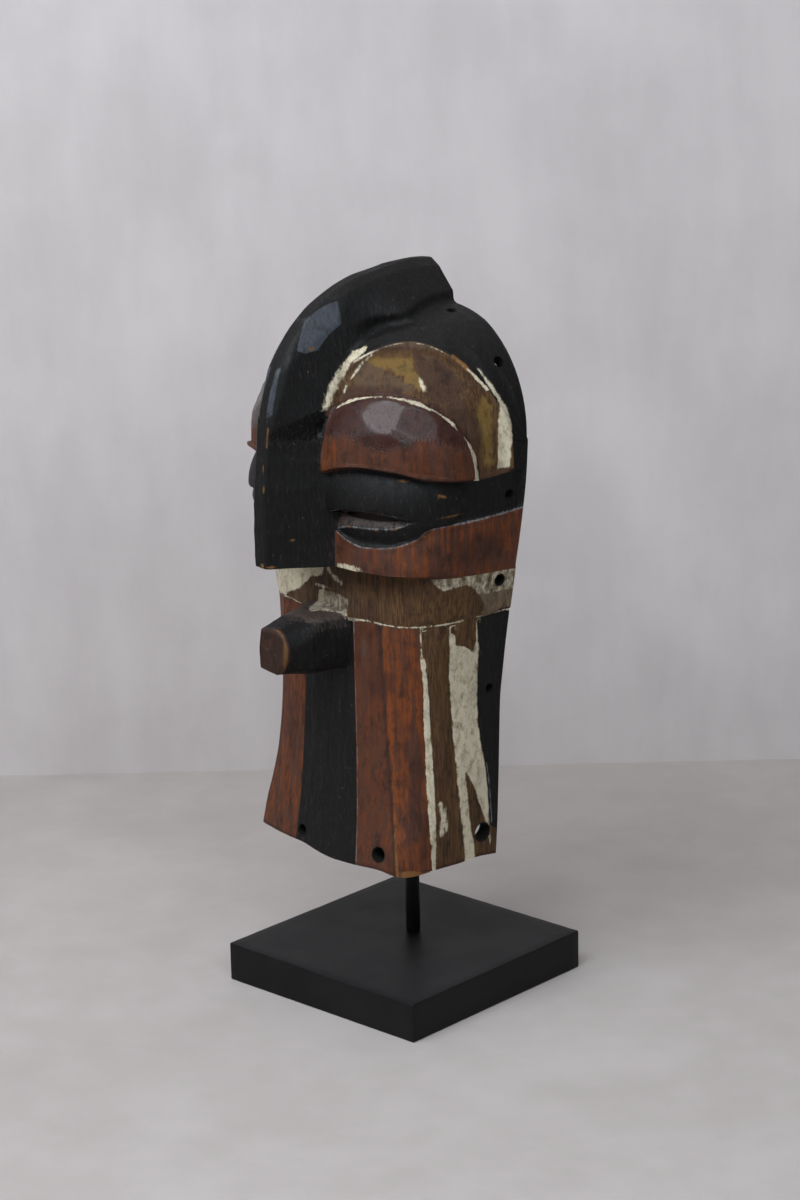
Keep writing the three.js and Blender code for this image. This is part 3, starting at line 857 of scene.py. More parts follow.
def distance_to(s, z, pieces):
    """Distance from the nearest of some straight pieces, each given by its two ends."""
    nearest = np.full(np.shape(s), np.inf)
    for (s0, z0), (s1, z1) in pieces:
        ds, dz = s1 - s0, z1 - z0
        t = np.clip(((s - s0) * ds + (z - z0) * dz) / (ds * ds + dz * dz), 0, 1)
        nearest = np.minimum(nearest, np.hypot(s - s0 - t * ds, z - z0 - t * dz))
    return nearest


def area(s, z, *corners):
    """Signed distance in mm into a patch with these corners, positive inside."""
    sides = list(zip(corners, corners[1:] + corners[:1]))
    inside_it = np.zeros(np.shape(s), bool)
    for (s0, z0), (s1, z1) in sides:
        if z1 != z0:
            inside_it ^= ((z0 > z) != (z1 > z)) & (s < s0 + (z - z0) * (s1 - s0) / (z1 - z0))
    nearest = distance_to(s, z, sides)
    return np.where(inside_it, nearest, -nearest)


def stroke(s, z, half, *corners):
    """Signed distance into a line this wide on each side, through the corners."""
    return half - distance_to(s, z, zip(corners[:-1], corners[1:]))


def blob(s, z, centre_s, centre_z, across, up, turn=0):
    """Signed distance to a tilted oval, in mm and positive inside."""
    ds, dz = s - centre_s, z - centre_z
    c, n = cos(radians(turn)), sin(radians(turn))
    u, v = ds * c + dz * n, -ds * n + dz * c
    return (1 - np.hypot(u / across, v / up)) * min(across, up)


def between(value, low, high):
    """Signed distance into a strip, positive inside."""
    return np.minimum(value - low, high - value)


def most(*fields):
    return np.maximum.reduce(fields)


# Distance into an area for points that are nowhere near it, and how far beside a line it still counts
NOWHERE = -9.0
BESIDE_LINE = 2.5


class Lines:
    """Thin lines, kept as the distance across from their middle and half their width."""

    def __init__(self, count):
        self.across = np.full(count, -NOWHERE)
        self.half = np.full(count, NOWHERE)

    def draw(self, across, half, where):
        closer = np.abs(across) - half < np.abs(self.across) - self.half
        here = where & closer & (np.abs(across) < half + BESIDE_LINE)
        self.across[here] = across[here]
        self.half[here] = (half + 0 * across)[here]


black_left = profile((0, -18.3), (28, -17.9), (55, -17.1), (82, -15.9), (118, -15))
black_right = profile((0, 25), (18, 23), (42, 20.8), (62, 19.9), (90, 18.5), (118, 17.4))
white_one_left = profile(
    (0, 62.5), (8, 61.9), (32, 59.7), (51, 58.4), (71, 57.1), (87, 56.5), (101, 55), (118, 54.4),
)
white_one_width = profile(
    (0, 1.6), (8, 2.2), (32, 3.5), (51, 3.4), (71, 3), (87, 2.3), (100, 2.2), (104, 0.8), (112, 0.5),
    (118, 0.3),
)
white_two_right = profile(
    (0, 100), (26, 97), (36, 95.5), (46.6, 93.3), (62, 89), (88, 86.3), (103, 85.2), (118, 83.3),
)
wedge_left = profile((0, 88.6), (5.6, 87.8), (20, 84), (33.5, 82), (45, 79.8))
wedge_right = profile((0, 101), (20.5, 94.4), (29.3, 89.6), (39, 84.9), (45.8, 79.8))
dome_chalk = profile(
    (11, 0.2), (16, 0.8), (21, 0.7), (26, 0.3), (36, 0.1), (43, 0.2), (49, 0.6), (55, 0.5), (59, 0.1),
    (63, 0.5), (67, 0.6), (71, 0.2), (74, 0.8), (78, 1.3),
)
arch_chalk = profile((18, 0.7), (26, 0.4), (34, 0), (60, 0), (70, 0.3), (82, 0.8))


def dark_areas(at):
    root_wood = area(at.s, at.z, (12.7, 212), (13, 229), (14.4, 235.6), (17, 241), (30, 244), (30, 212))
    crest = np.where(at.head, np.minimum(at.root - at.width, -root_wood), NOWHERE)
    hood = np.where(at.head & (at.over_band > -1), at.arch + 0.3, NOWHERE)
    band = np.where(at.head, between(at.z, band_bottom(at.s), band_top(at.s)), NOWHERE)
    centre = np.where(at.beard, between(at.x, black_left(at.z), black_right(at.z)), NOWHERE)
    corner = at.z - 14 - 0.5 * np.maximum(0, 103 - at.s)
    rim_stripe = np.where(at.beard, np.minimum(at.s - white_two_right(at.z), corner), NOWHERE)
    black = most(crest, hood, band, centre, rim_stripe, np.minimum(at.stub, 3))
    return np.where((at.stub < 0) | (at.reach < MOUTH_END["reach"] - 1.4), black, -2)


def red_areas(at):
    dome = np.where(at.over_band > 0, -at.dome_edge, NOWHERE)
    cheek = np.where(at.head, np.minimum(-at.over_cheek, 6), NOWHERE)
    panel = np.where(at.beard, np.minimum(first_line(at.z) - at.s, -at.neck), NOWHERE)
    return most(dome, cheek, panel)


def chalk_areas(at):
    s, z = at.s, at.z
    wall = most(
        area(s, z, (80.4, 234.6), (84.8, 226.5), (88.7, 219.6), (88.9, 214), (88.8, 189), (94.4, 190),
             (94.8, 208), (92.6, 217.7), (85.8, 228), (81.6, 234)),
        stroke(s, z, 0.5, (14.4, 214), (15.4, 219.5), (17.4, 226)),
        stroke(s, z, 0.4, (18.6, 229), (22, 235), (27, 239.4)),
    )
    strand = area(s, z, (11.8, 214.5), (12.2, 222), (12.7, 229), (13.8, 235), (15.8, 240.4), (22, 242.8),
                  (23, 240.8), (18.2, 236), (15, 228.5), (13.4, 219), (13, 214.5))
    strand = np.where(at.head, strand, NOWHERE)
    wall = np.where(at.over_band > -2, wall, NOWHERE)
    wedge = np.where(z < 46, between(s, wedge_left(z), wedge_right(z)), NOWHERE)
    two = np.minimum(between(s, second_line(z) + 0.2, white_two_right(z)), -wedge)
    two = np.minimum(two, 106 - z + 5 * waves(s, z, 9, 3) + 6 * (s < 71.5))
    beard = most(
        two, stroke(s, z, 1.1, (65.8, 32), (67.4, 25), (66.6, 17)), stroke(s, z, 0.5, (68.6, 30), (69.4, 19)),
    )
    beard = np.where(at.beard & (at.neck < -1), beard, NOWHERE)
    neck = most(
        area(at.x, z, (-48, 142), (-48, 114), (-38, 114), (-30, 120), (-20, 124), (-12, 131), (-4, 133),
             (-2, 142)),
        stroke(at.x, z, 0.8, (-2, 139), (4, 134), (10, 132)),
        stroke(at.x, z, 0.6, (-8, 128), (2, 127.5), (10, 125)),
        area(s, z, (57, 142), (61, 137), (64.6, 135), (75, 137), (82, 131.6), (86, 126), (84.6, 121.2),
             (93, 120), (106, 123), (106, 142)),
    )
    neck = np.where(~at.head & (at.neck > 0) & (at.stub < 0), neck, NOWHERE)
    ring = area(at.x, at.reach, (-7, 56), (14, 56), (14.5, 59.5), (10, 62.5), (6, 65), (0, 70), (-5, 66))
    root = np.where((at.stub > -1) & (z > 112), ring, NOWHERE)
    cheek = np.where(at.head, blob(s, z, 24, 143.8, 6, 1.5), NOWHERE)
    chalk = most(wall, beard, neck, root, cheek)
    return most(np.where(at.on_crest, NOWHERE, chalk), strand)


def chalk_cover(at):
    """How closely the chalk covers, from 0 to 1."""
    near_middle = smoothstep(at.x, -30, 8) * (at.neck > 0) * (1 - at.head)
    beige = (at.s > 82) & (at.z < 130) & (at.neck > 0)
    return 1 - 0.45 * near_middle - 0.35 * beige - 0.12 * ((at.neck < 0) & (at.s > 66))


def chalk_lines(at):
    lines = Lines(len(at.s))
    ones = np.ones(len(at.s))
    middle = at.s - white_one_left(at.z) - white_one_width(at.z) / 2
    lines.draw(middle, white_one_width(at.z) / 2, at.beard)
    forehead = at.face & (at.s > 11)
    lines.draw(at.dome_edge + 1.3, dome_chalk(at.s), forehead & (at.z < 226))
    lines.draw(at.arch + 0.8, arch_chalk(at.s), forehead & (at.s > 18) & (at.z > 225))
    near = ~at.head & (at.stub < 0)
    lines.draw(at.neck + 0.1, 0.35 + 0.5 * (1 - smoothstep(at.s, 16, 30)), near & (at.x > 0))
    lines.draw(at.neck + 0.1, 0.2 * ones, near & (at.x < -20))
    lines.draw(at.s - second_line(at.z) - 0.5, 0.4 * ones, at.beard & (at.z > 96) & (at.z < 117))
    lines.draw(at.s - white_two_right(at.z) + 0.8, 0.35 * ones, at.beard & (at.z > 85) & (at.z < 118))
    return lines


def grey_lines(at):
    lines = Lines(len(at.s))
    ones = np.ones(len(at.s))
    skin = at.head & ~at.on_crest
    # Painted highlights: grey lines along the band's lower edge and the slit's edges
    lines.draw(at.over_cheek + 0.1, 0.2 + 0.25 * smoothstep(at.s, 62, 72), skin & (at.s > 16))
    lines.draw(at.z - slit_low(at.s) + 0.3, 0.3 * ones, skin & (at.s > 14) & (at.s < 49))
    lines.draw(at.z - slit_top(at.s) - 0.4, 0.22 * ones, skin & (at.s > 14) & (at.s < 50))
    lines.draw(at.x - black_right(at.z) - 0.5, 0.16 * ones, at.beard)
    lines.draw(at.s - white_two_right(at.z) - 1.6, 0.35 * ones, at.beard & (at.z > 16) & (at.z < 48))
    return lines


# Ovals of worn paint: place across and up, half their size across and up, and their turn
WORN_ON_FACE = (
    (61.8, 180, 2, 0.6, -20), (66.5, 170.4, 4.2, 0.4, 6), (25.2, 163.6, 0.9, 0.7), (37.3, 163.8, 0.7, 0.5),
    (44.1, 164.8, 1.2, 0.5, 20), (55.2, 161.3, 0.6, 0.6), (47, 187, 2, 0.5),
)
WORN_ON_CREST_EDGE = (
    (-0.8, 189, 0.4, 1.5), (0.2, 179.4, 0.4, 1.5), (-1.6, 144.3, 1.2, 1), (1.5, 143.8, 1, 0.5),
    (6, 156, 0.5, 0.6),
)


def worn_spots(at):
    """Where the paint has gone and light wood shows."""
    s, z = at.s, at.z
    face = most(*(blob(s, z, *oval) for oval in WORN_ON_FACE))
    face = np.where(at.head & ~at.on_crest, face, NOWHERE)
    edge = at.width - crest_half_front(at.level)
    crest = most(
        *(blob(edge, z, *oval) for oval in WORN_ON_CREST_EDGE), blob(s, z, 7.1, 242.4, 0.4, 0.8),
        stroke(edge, z, 0.2, (0.4, 199), (0.5, 208)),
    )
    crest = np.where(at.on_crest & (at.x > 0), crest, NOWHERE)
    bottom = np.where(at.beard, np.minimum(between(s, 49, 60), 1.7 - z + 1.6 * waves(s, z, 7, 2)), NOWHERE)
    ridge = np.where(at.beard, (1 - z / 52) * 0.6 - np.abs(s - ridge_line(z)), NOWHERE)
    arch_line = np.where(at.face, stroke(s, z, 0.9, (68, 240), (73.6, 236.2), (77.5, 231.6)), NOWHERE)
    return most(face, crest, bottom, np.where(z < 46, ridge, NOWHERE), arch_line)


def crest_rub_and_sheen_facets(at):
    """Flat cuts along the crest where the black is rubbed to a dull grey, with a painted reflection of the
    light over it.
    """
    down = crest_reach(at.level) - at.reach
    along = at.level * LEVEL_LENGTH
    large = area(down, along, (3.2, 362), (0.6, 376), (1.6, 386), (3.4, 393), (12, 384.5), (11.2, 366.5),
                 (7, 362.5))
    edge = at.width - crest_half_front(at.level)
    strip = area(edge, along, (-0.8, 331), (-1.2, 352), (0.8, 353), (1.3, 332))
    return np.where(at.on_crest, most(large, strip), NOWHERE)


def stub_rim(at):
    """The mouth's end: distance into its outermost ring, where the paint has gone from the edge; the ring is
    widened on the lit side as a painted highlight.
    """
    width, height, middle = mouth_size(np.full(len(at.s), MOUTH_END["reach"]))
    ring = (np.abs(at.x / width) ** MOUTH_SQUARENESS + np.abs((at.z - middle) / height) ** MOUTH_SQUARENESS)
    ring = (ring ** (1 / MOUTH_SQUARENESS) - 0.88) * width
    # Painted highlight: the rim is wider on the lit side
    lit = 0.3 + 0.7 * smoothstep(at.x, -4, 8)
    on_end = (at.reach > MOUTH_END["reach"] - 1.6) & ~at.head
    return np.where(on_end, ring - 1.2 * (1 - lit), NOWHERE)


def stub_marks(at):
    """Two shallow strokes, like a cross, on the mouth's end face."""
    x, z = at.x, at.z
    marks = most(stroke(x, z, 0.45, (-5, 103.5), (3.5, 101.2)), stroke(x, z, 0.35, (-1, 108), (-0.2, 97.5)))
    return np.where((at.reach > MOUTH_END["reach"] - 1) & ~at.head, marks, NOWHERE)


class Spot:
    """Where the points of the carving lie, in the terms that the paint follows."""

    def __init__(self, points, roots):
        self.s, self.z, self.level, self.reach = places(points)[1:]
        self.x = points[:, 0]
        self.width = np.abs(self.x)
        self.root = np.interp(self.level, *roots)
        self.head = points[:, 2] > LEDGE_BOTTOM + 0.4
        self.arch = beyond_oval(BROW_ARCH, self.s, self.z)
        self.dome_edge = beyond_oval(LID_DOME, self.s, self.z)
        self.over_band = self.z - band_top(self.s)
        self.over_cheek = self.z - band_bottom(self.s)
        self.neck = self.z - neck_line(self.s)
        self.beard = self.neck < 0
        stub = self.reach - (beard_depth(self.z) + front_bow(self.z)) - 0.6
        self.stub = np.where((self.width < 21) & (self.z > 85) & (self.z < 126), stub, NOWHERE)
        self.on_crest = self.head & (self.width < self.root)
        self.face = self.head & ~self.on_crest & (self.over_band > -0.5)
        self.outer_face = self.face & (self.dome_edge > -1)
        self.off_ridge = self.s - ridge_line(self.z)
        self.cheek = self.head & (self.over_cheek < 0)
        self.on_dome = (self.dome_edge < 0) & (self.over_band > 0)


def wood_patches(at):
    """Ochre, pale and purple areas on the bare wood of the forehead."""
    s, z = at.s, at.z
    ochre = most(
        area(s, z, (24, 236.4), (29, 241.6), (46.6, 242), (48.4, 234.7), (44, 231.6), (40.5, 232), (38, 234),
             (31, 234.6)),
        area(s, z, (44, 233), (49, 234), (53.5, 230), (54.8, 225.4), (52, 226), (49, 228.5), (45, 228.6)),
        area(s, z, (76, 219), (82, 226), (88, 219), (88, 190), (80, 190), (79, 200)) * 0.5 - 1,
    )
    pale = most(
        area(s, z, (18, 235), (24, 237), (34, 234.5), (34.5, 226), (22, 225)),
        area(s, z, (36, 233), (42, 230), (49, 228), (48, 225), (36, 226)), blob(s, z, 46, 245, 20, 3),
    )
    purple = most(
        area(s, z, (49, 239), (60, 240), (72, 230), (70, 221), (60, 219), (54, 224), (51, 231)),
        area(s, z, (14, 220), (20, 226), (44, 227), (44, 222), (30, 223), (18, 217)),
        area(s, z, (60, 219), (71, 223), (78, 212), (80, 200), (74, 203), (66, 212)),
    )
    patches = {"ochre": ochre, "pale": pale, "purple": purple}
    return {name: np.where(at.outer_face, patch, NOWHERE) for name, patch in patches.items()}


def orange_share(at):
    """How far the red is rubbed to orange, with an orange line beside the beard's ridge as a painted
    highlight.
    """
    return sum((
        0.2 * at.on_dome * (1 - smoothstep(at.z, 199, 206)),
        0.55 * at.cheek * smoothstep(at.s, 28, 48),
        0.65 * at.beard * smoothstep(at.off_ridge, -1, 3) * (at.x > 0),
        0.5 * at.beard * (at.x < 0),
        0.6 * (at.head & (at.s < 20) & (at.dome_edge < 2)),
        # Painted highlight: an orange line on the outer side of the beard's ridge
        0.8 * at.beard * (1 - smoothstep(np.abs(at.off_ridge - 1), 0.6, 1.8)),
    ))


def film_and_slit_light_share(at):
    """How closely a pale film lies over the paint; on the eye slits' upward-facing floors it is painted
    light.
    """
    s, z = at.s, at.z
    in_slit = at.head & ~at.on_crest & (between(z, slit_low(s), slit_top(s)) > 0) & (s < 51)
    on_neck = (at.neck > 0) & ~at.head
    return sum((
        0.15 * (at.head & (at.over_cheek < -1)) * smoothstep(blob(s, z, 26, 151, 15, 8), -3, 5),
        # Painted light: the eye slits' upward-facing floors made pale grey
        0.55 * in_slit,
        0.35 * on_neck * smoothstep(at.x, -50, -5) * (1 - smoothstep(at.x, 12, 40)),
        0.5 * at.beard * smoothstep(blob(s, z, 26.5, 104, 3, 9), -1, 2) * (at.x > 0),
        0.35 * ((at.stub > 0) & (z > 112) & (at.reach < 78)),
    ))


def dark_share(at):
    """How far the wood and the red are darkened: stains, painted shade in creases, beside the beard's ridge
    and low on the domes, and darker along the bottom edge, at the forehead's top and on the cheek by the
    crest.
    """
    s, z = at.s, at.z
    on_neck = (at.neck > 0) & ~at.head
    above_bottom = z - bottom_rise(np.sign(at.x) * s)
    return sum((
        0.9 * at.beard * smoothstep(blob(s, z, 54, 38, 3.4, 34, -3), -1, 2.5),
        0.7 * at.cheek * smoothstep(blob(s, z, 80, 153, 16, 8, 12), -4, 5),
        0.5 * at.beard * smoothstep(blob(s, z, 66, 45, 6, 26), -2, 3),
        # Painted shade: a dark line on the inner side of the beard's ridge
        0.9 * at.beard * (1 - smoothstep(np.abs(at.off_ridge + 0.9), 0.4, 1.2)),
        0.6 * on_neck * smoothstep(blob(s, z, 28, 121, 12, 5, -8), -2, 3) * (at.x > 0),
        # Painted shade: the lower part of each dome, which faces down
        0.42 * at.on_dome * (1 - smoothstep(z, 200, 206)),
        0.4 * at.cheek * (1 - smoothstep(s, 30, 44)),
        0.7 * at.outer_face * smoothstep(blob(s, z, 30, 241, 26, 2.5), -1.5, 1),
        # Painted shade: the crease round each dome's edge
        0.8 * at.face * smoothstep(1.1 - np.abs(at.dome_edge + 0.1), -0.3, 0.6),
        1.2 * at.beard * (1 - smoothstep(above_bottom, 0.3, 2.2)),
        # Painted shade: just above the band, under the domes' lower edge
        0.9 * at.face * (1 - smoothstep(at.over_band, 0.4, 2.4)),
    ))


def paint_fields(points, roots):
    """Fields that the material reads: distances in mm into areas of colour, and soft shares."""
    at = Spot(points, roots)
    tail = area(at.s, at.z, (50, 233), (53.5, 231), (55.4, 225.2), (53.6, 224.6), (51.6, 228.6)) - 0.5
    chalk_line, grey_line = chalk_lines(at), grey_lines(at)
    return {
        "black": dark_areas(at), "red": red_areas(at),
        "chalk": most(chalk_areas(at), np.where(at.face, tail, NOWHERE)), "cover": chalk_cover(at),
        "line_across": chalk_line.across, "line_half": chalk_line.half,
        "grey_across": grey_line.across, "grey_half": grey_line.half, "worn": worn_spots(at),
        # The rubbed field also holds the painted reflection on the crest's facets
        "stub_rim": stub_rim(at), "stub_mark": stub_marks(at), "rubbed": crest_rub_and_sheen_facets(at),
        # Some of these shares are painted light: the ridge's highlight, the slits' pale floors and shade in
        # creases
        **wood_patches(at), "orange": orange_share(at), "film": film_and_slit_light_share(at), "dark": dark_share(at),
        "gloss": at.on_dome * smoothstep(at.z + 2.5 * np.sin(at.s / 5), 199, 207),
    }


def add_field(mesh, name, values):
    layer = mesh.attributes.new(name, "FLOAT", "POINT")
    layer.data.foreach_set("value", np.asarray(values, np.float32))


def vectors(vertices, key):
    """The places or the normals of a mesh's vertices, as rows of three."""
    values = np.empty(len(vertices) * 3)
    vertices.foreach_get(key, values)
    return values.reshape(-1, 3)


def edge_field(mesh):
    """How convex the surface is at each vertex: positive on edges, negative in creases."""
    points, normals = vectors(mesh.vertices, "co"), vectors(mesh.vertices, "normal")
    edges = np.empty(len(mesh.edges) * 2, np.int64)
    mesh.edges.foreach_get("vertices", edges)
    edges = edges.reshape(-1, 2)
    value = np.zeros(len(points))
    span = np.zeros(len(points))
    for a, b in ((0, 1), (1, 0)):
        way = points[edges[:, b]] - points[edges[:, a]]
        length = np.maximum(np.linalg.norm(way, axis=1), 1e-6)
        bend = -(way * normals[edges[:, a]]).sum(1) / length
        np.add.at(value, edges[:, a], bend)
        np.add.at(span, edges[:, a], 1)
    value = value / np.maximum(span, 1)
    for _ in range(2):
        total = value * 1.0
        count = np.ones(len(points))
        for a, b in ((0, 1), (1, 0)):
            np.add.at(total, edges[:, a], value[edges[:, b]])
            np.add.at(count, edges[:, a], 1)
        value = total / count
    return value


def inner_field(points):
    """1 on the hollow's wall and 0 on the outside."""
    level, reach = places(points)[3:]
    x = np.abs(points[:, 0])
    width = half_width(np.minimum(level, HEAD_CENTRE))
    depth = np.where(level < LEDGE_TOP, beard_depth(level), head_depth(level))
    power = HOLLOW_SQUARENESS
    ratio = (x / (width - RIM_WIDTH + 3)) ** power + (reach / (depth - WALL_THICKNESS + 4)) ** power
    return 1 - smoothstep(ratio, 0.97, 1.03)


def bore_field(points):
    """1 on the walls of the lacing holes, which get painted shade, and fading out just beyond their edges."""
    value = np.zeros(len(points))
    for start, end, radius in bores():
        start, way = np.array(start), np.array((end - start).normalized())
        from_start = points - start
        along = from_start @ way
        away = np.linalg.norm(from_start - along[:, None] * way, axis=1)
        near = (along > 0) & (along < np.linalg.norm(np.array(end) - start) + 1)
        value = np.maximum(value, np.where(near, 1 - smoothstep(away, radius + 0.05, radius + 1), 0))
    return value


class Shader:
    """Makes the nodes of one material, and wires them."""

    def __init__(self, name):
        self.material = bpy.data.materials.new(name)
        self.material.use_nodes = True
        self.tree = self.material.node_tree
        self.surface = self.tree.nodes["Principled BSDF"]
        self.object_place = self.node("ShaderNodeTexCoord").outputs["Object"]

    def node(self, kind, **settings):
        made = self.tree.nodes.new(kind)
        for key, value in settings.items():
            setattr(made, key, value)
        return made

    def put(self, socket, value):
        if isinstance(value, bpy.types.NodeSocket):
            self.tree.links.new(value, socket)
        elif socket.type == "RGBA" and len(value) == 3:
            socket.default_value = (*value, 1)
        else:
            socket.default_value = value

    def math(self, operation, *values):
        made = self.node("ShaderNodeMath", operation=operation)
        for socket, value in zip(made.inputs, values):
            self.put(socket, value)
        return made.outputs[0]

    def add(self, a, b):
        return self.math("ADD", a, b)

    def times(self, a, b):
        return self.math("MULTIPLY", a, b)

    def ramp(self, value, low, high, start=0.0, end=1.0):
        made = self.node("ShaderNodeMapRange", interpolation_type="SMOOTHSTEP")
        inputs = {"Value": value, "From Min": low, "From Max": high, "To Min": start, "To Max": end}
        for key, number in inputs.items():
            self.put(made.inputs[key], number)
        return made.outputs["Result"]

    def mix(self, share, a, b):
        made = self.node("ShaderNodeMix", data_type="RGBA")
        self.put(made.inputs["Factor"], share)
        colours = [socket for socket in made.inputs if socket.type == "RGBA"]
        self.put(colours[0], a)
        self.put(colours[1], b)
        return [socket for socket in made.outputs if socket.type == "RGBA"][0]

    def layers(self, colour, *coats):
        """A colour under coats that each have a share and a colour."""
        for share, coat in coats:
            colour = self.mix(share, colour, coat)
        return colour

    def blend(self, share, a, b):
        """Between two numbers."""
        return self.add(a, self.times(share, self.math("SUBTRACT", b, a)))

    def field(self, name):
        return self.node("ShaderNodeAttribute", attribute_type="GEOMETRY", attribute_name=name).outputs["Fac"]

    def stretched(self, x, y, z, turn=(0, 0, 0)):
        """Object coordinates in millimetres, turned and then divided by these sizes."""
        made = self.node("ShaderNodeMapping", vector_type="TEXTURE")
        self.put(made.inputs["Vector"], self.object_place)
        made.inputs["Scale"].default_value = (x * MM, y * MM, z * MM)
        made.inputs["Rotation"].default_value = [radians(angle) for angle in turn]
        return made.outputs["Vector"]

    def noise(self, place, detail=3.0, roughness=0.55, distortion=0.0):
        made = self.node("ShaderNodeTexNoise")
        self.put(made.inputs["Vector"], place)
        numbers = {"Scale": 1, "Detail": detail, "Roughness": roughness, "Distortion": distortion}
        for key, number in numbers.items():
            made.inputs[key].default_value = number
        return made.outputs["Fac"]

    def bump(self, height, distance, strength, under=None):
        made = self.node("ShaderNodeBump")
        self.put(made.inputs["Height"], height)
        made.inputs["Distance"].default_value = distance * MM
        made.inputs["Strength"].default_value = strength
        if under is not None:
            self.put(made.inputs["Normal"], under)
        return made.outputs["Normal"]

    def clear_from_behind(self):
        """Lets a backdrop be looked through from its back, so that the object can be seen from there."""
        output = self.tree.nodes["Material Output"].inputs["Surface"]
        sides = self.node("ShaderNodeMixShader")
        self.put(sides.inputs[0], self.node("ShaderNodeNewGeometry").outputs["Backfacing"])
        self.tree.links.new(self.surface.outputs["BSDF"], sides.inputs[1])
        self.tree.links.new(self.node("ShaderNodeBsdfTransparent").outputs["BSDF"], sides.inputs[2])
        self.tree.links.new(sides.outputs["Shader"], output)

    def finish(self, colour, roughness, normal, specular=0.5):
        self.put(self.surface.inputs["Base Color"], colour)
        self.put(self.surface.inputs["Roughness"], roughness)
        if normal is not None:
            self.put(self.surface.inputs["Normal"], normal)
        self.surface.inputs["Specular IOR Level"].default_value = specular
        return self.material


# Colours, as linear light
OLIVE_WOOD = (0.130, 0.068, 0.026)
DARK_WOOD = (0.048, 0.024, 0.011)
PALE_OLIVE = (0.088, 0.056, 0.032)
OCHRE_WOOD = (0.155, 0.092, 0.024)
# Bare golden wood where paint is worn, also the painted highlight on the mouth's rim
GOLDEN_WEAR_AND_HIGHLIGHT = (0.19, 0.088, 0.025)
PURPLE_GLAZE = (0.046, 0.023, 0.015)
RED_PAINT = (0.115, 0.031, 0.010)
PURPLE_RED = (0.075, 0.030, 0.017)
DEEP_RED = (0.042, 0.015, 0.009)
ORANGE_RUB_AND_HIGHLIGHT = (0.19, 0.048, 0.009)
DOME_TOP = (0.036, 0.017, 0.015)
BLACK_PAINT = (0.0030, 0.0030, 0.0028)
BLACK_DUSTY = (0.013, 0.013, 0.012)
LILAC_GREY = (0.11, 0.080, 0.066)
BLUE_GREY = (0.30, 0.31, 0.32)
# Dull blue-grey: rubbed black with a painted reflection on the crest's flat cuts
RUBBED_AND_SHEEN_GREY = (0.050, 0.057, 0.068)
CHALK = (0.56, 0.50, 0.365)
CHALK_DIRTY = (0.30, 0.245, 0.165)
END_GRAIN = (0.024, 0.012, 0.007)
RAW_WOOD = (0.115, 0.068, 0.036)
RAW_WOOD_DARK = (0.052, 0.030, 0.016)
# Near black, for dirt and for painted shade in creases and in the lacing holes
GRIME_AND_SHADE = (0.006, 0.005, 0.004)


class PaintedWood(Shader):
    """The mask's material, with the patterns that several of its coats share."""

    def __init__(self):
        super().__init__("painted_wood")
        self.fine = self.noise(self.stretched(1.0, 1.0, 1.3), 4, 0.6)
        self.flakes = self.noise(self.stretched(3.2, 3.2, 4.6), 5, 0.65)
        self.clouds = self.noise(self.stretched(13, 13, 17), 3, 0.5)
        self.grain = self.noise(self.stretched(0.8, 0.8, 15), 4, 0.6, 0.3)
        self.streaks = self.noise(self.stretched(2.1, 2.1, 34), 4, 0.6, 0.4)
        self.dabs = self.noise(self.stretched(1.1, 1.1, 5.5, (8, 0, 0)), 3, 0.6)
        self.scratches = self.noise(self.stretched(40, 0.5, 9, (38, 0, 0)), 2, 0.5)
        self.edge, self.inner, self.bore = (self.field(name) for name in ("edge", "inner", "bore"))
        self.ragged = self.add(self.centred(self.flakes, 3.0), self.centred(self.dabs, 1.6))

    def centred(self, noise, strength):
        """A noise that goes as far below nought as above it."""
        return self.times(self.add(noise, -0.5), strength)

    def painted(self, name, spread_of_edge=0.35, rough=1.0):
        """Share of an area of paint, with a ragged edge."""
        distance = self.add(self.field(name), self.times(self.ragged, rough))
        return self.ramp(distance, -spread_of_edge, spread_of_edge)

    def drawn(self, name, rough):
        """Share of thin lines."""
        across = self.math("ABSOLUTE", self.field(name + "_across"))
        into = self.math("SUBTRACT", self.field(name + "_half"), across)
        return self.ramp(self.add(into, self.times(self.ragged, rough)), -0.22, 0.22)

    def soft(self, name, noise):
        """Share of a soft area that a noise breaks up."""
        return self.ramp(self.add(self.field(name), self.centred(noise, 1.6)), 0.05, 0.95)


def bare_wood(sh):
    return sh.layers(
        sh.mix(sh.ramp(sh.grain, 0.34, 0.68), DARK_WOOD, OLIVE_WOOD),
        (sh.ramp(sh.clouds, 0.3, 0.75, 0, 0.45), DARK_WOOD),
        (sh.times(sh.painted("pale", 0.9), 0.8), PALE_OLIVE),
        (sh.times(sh.painted("purple", 1.4), 0.75), PURPLE_GLAZE),
        (sh.times(sh.painted("ochre", 0.7), sh.ramp(sh.flakes, 0.25, 0.5, 0.7, 0.95)), OCHRE_WOOD),
    )


def red_coat(sh):
    """Purplish red, rubbed to orange in places, with darker dabs and the domes' shiny tops."""
    rubbed = sh.add(sh.field("orange"), sh.centred(sh.flakes, 1.8))
    rubbed = sh.ramp(sh.add(rubbed, sh.centred(sh.streaks, 3.4)), 0.3, 1.3)
    return sh.layers(
        sh.mix(sh.ramp(sh.streaks, 0.38, 0.66), PURPLE_RED, RED_PAINT),
        # Orange rub, with the ridge's painted highlight among it
        (sh.times(rubbed, 0.85), ORANGE_RUB_AND_HIGHLIGHT),
        (sh.ramp(sh.dabs, 0.55, 0.75, 0, 0.7), DEEP_RED),
        (sh.ramp(sh.clouds, 0.5, 0.72, 0, 0.6), DEEP_RED),
        (sh.times(sh.soft("gloss", sh.flakes), 0.85), DOME_TOP),
    )


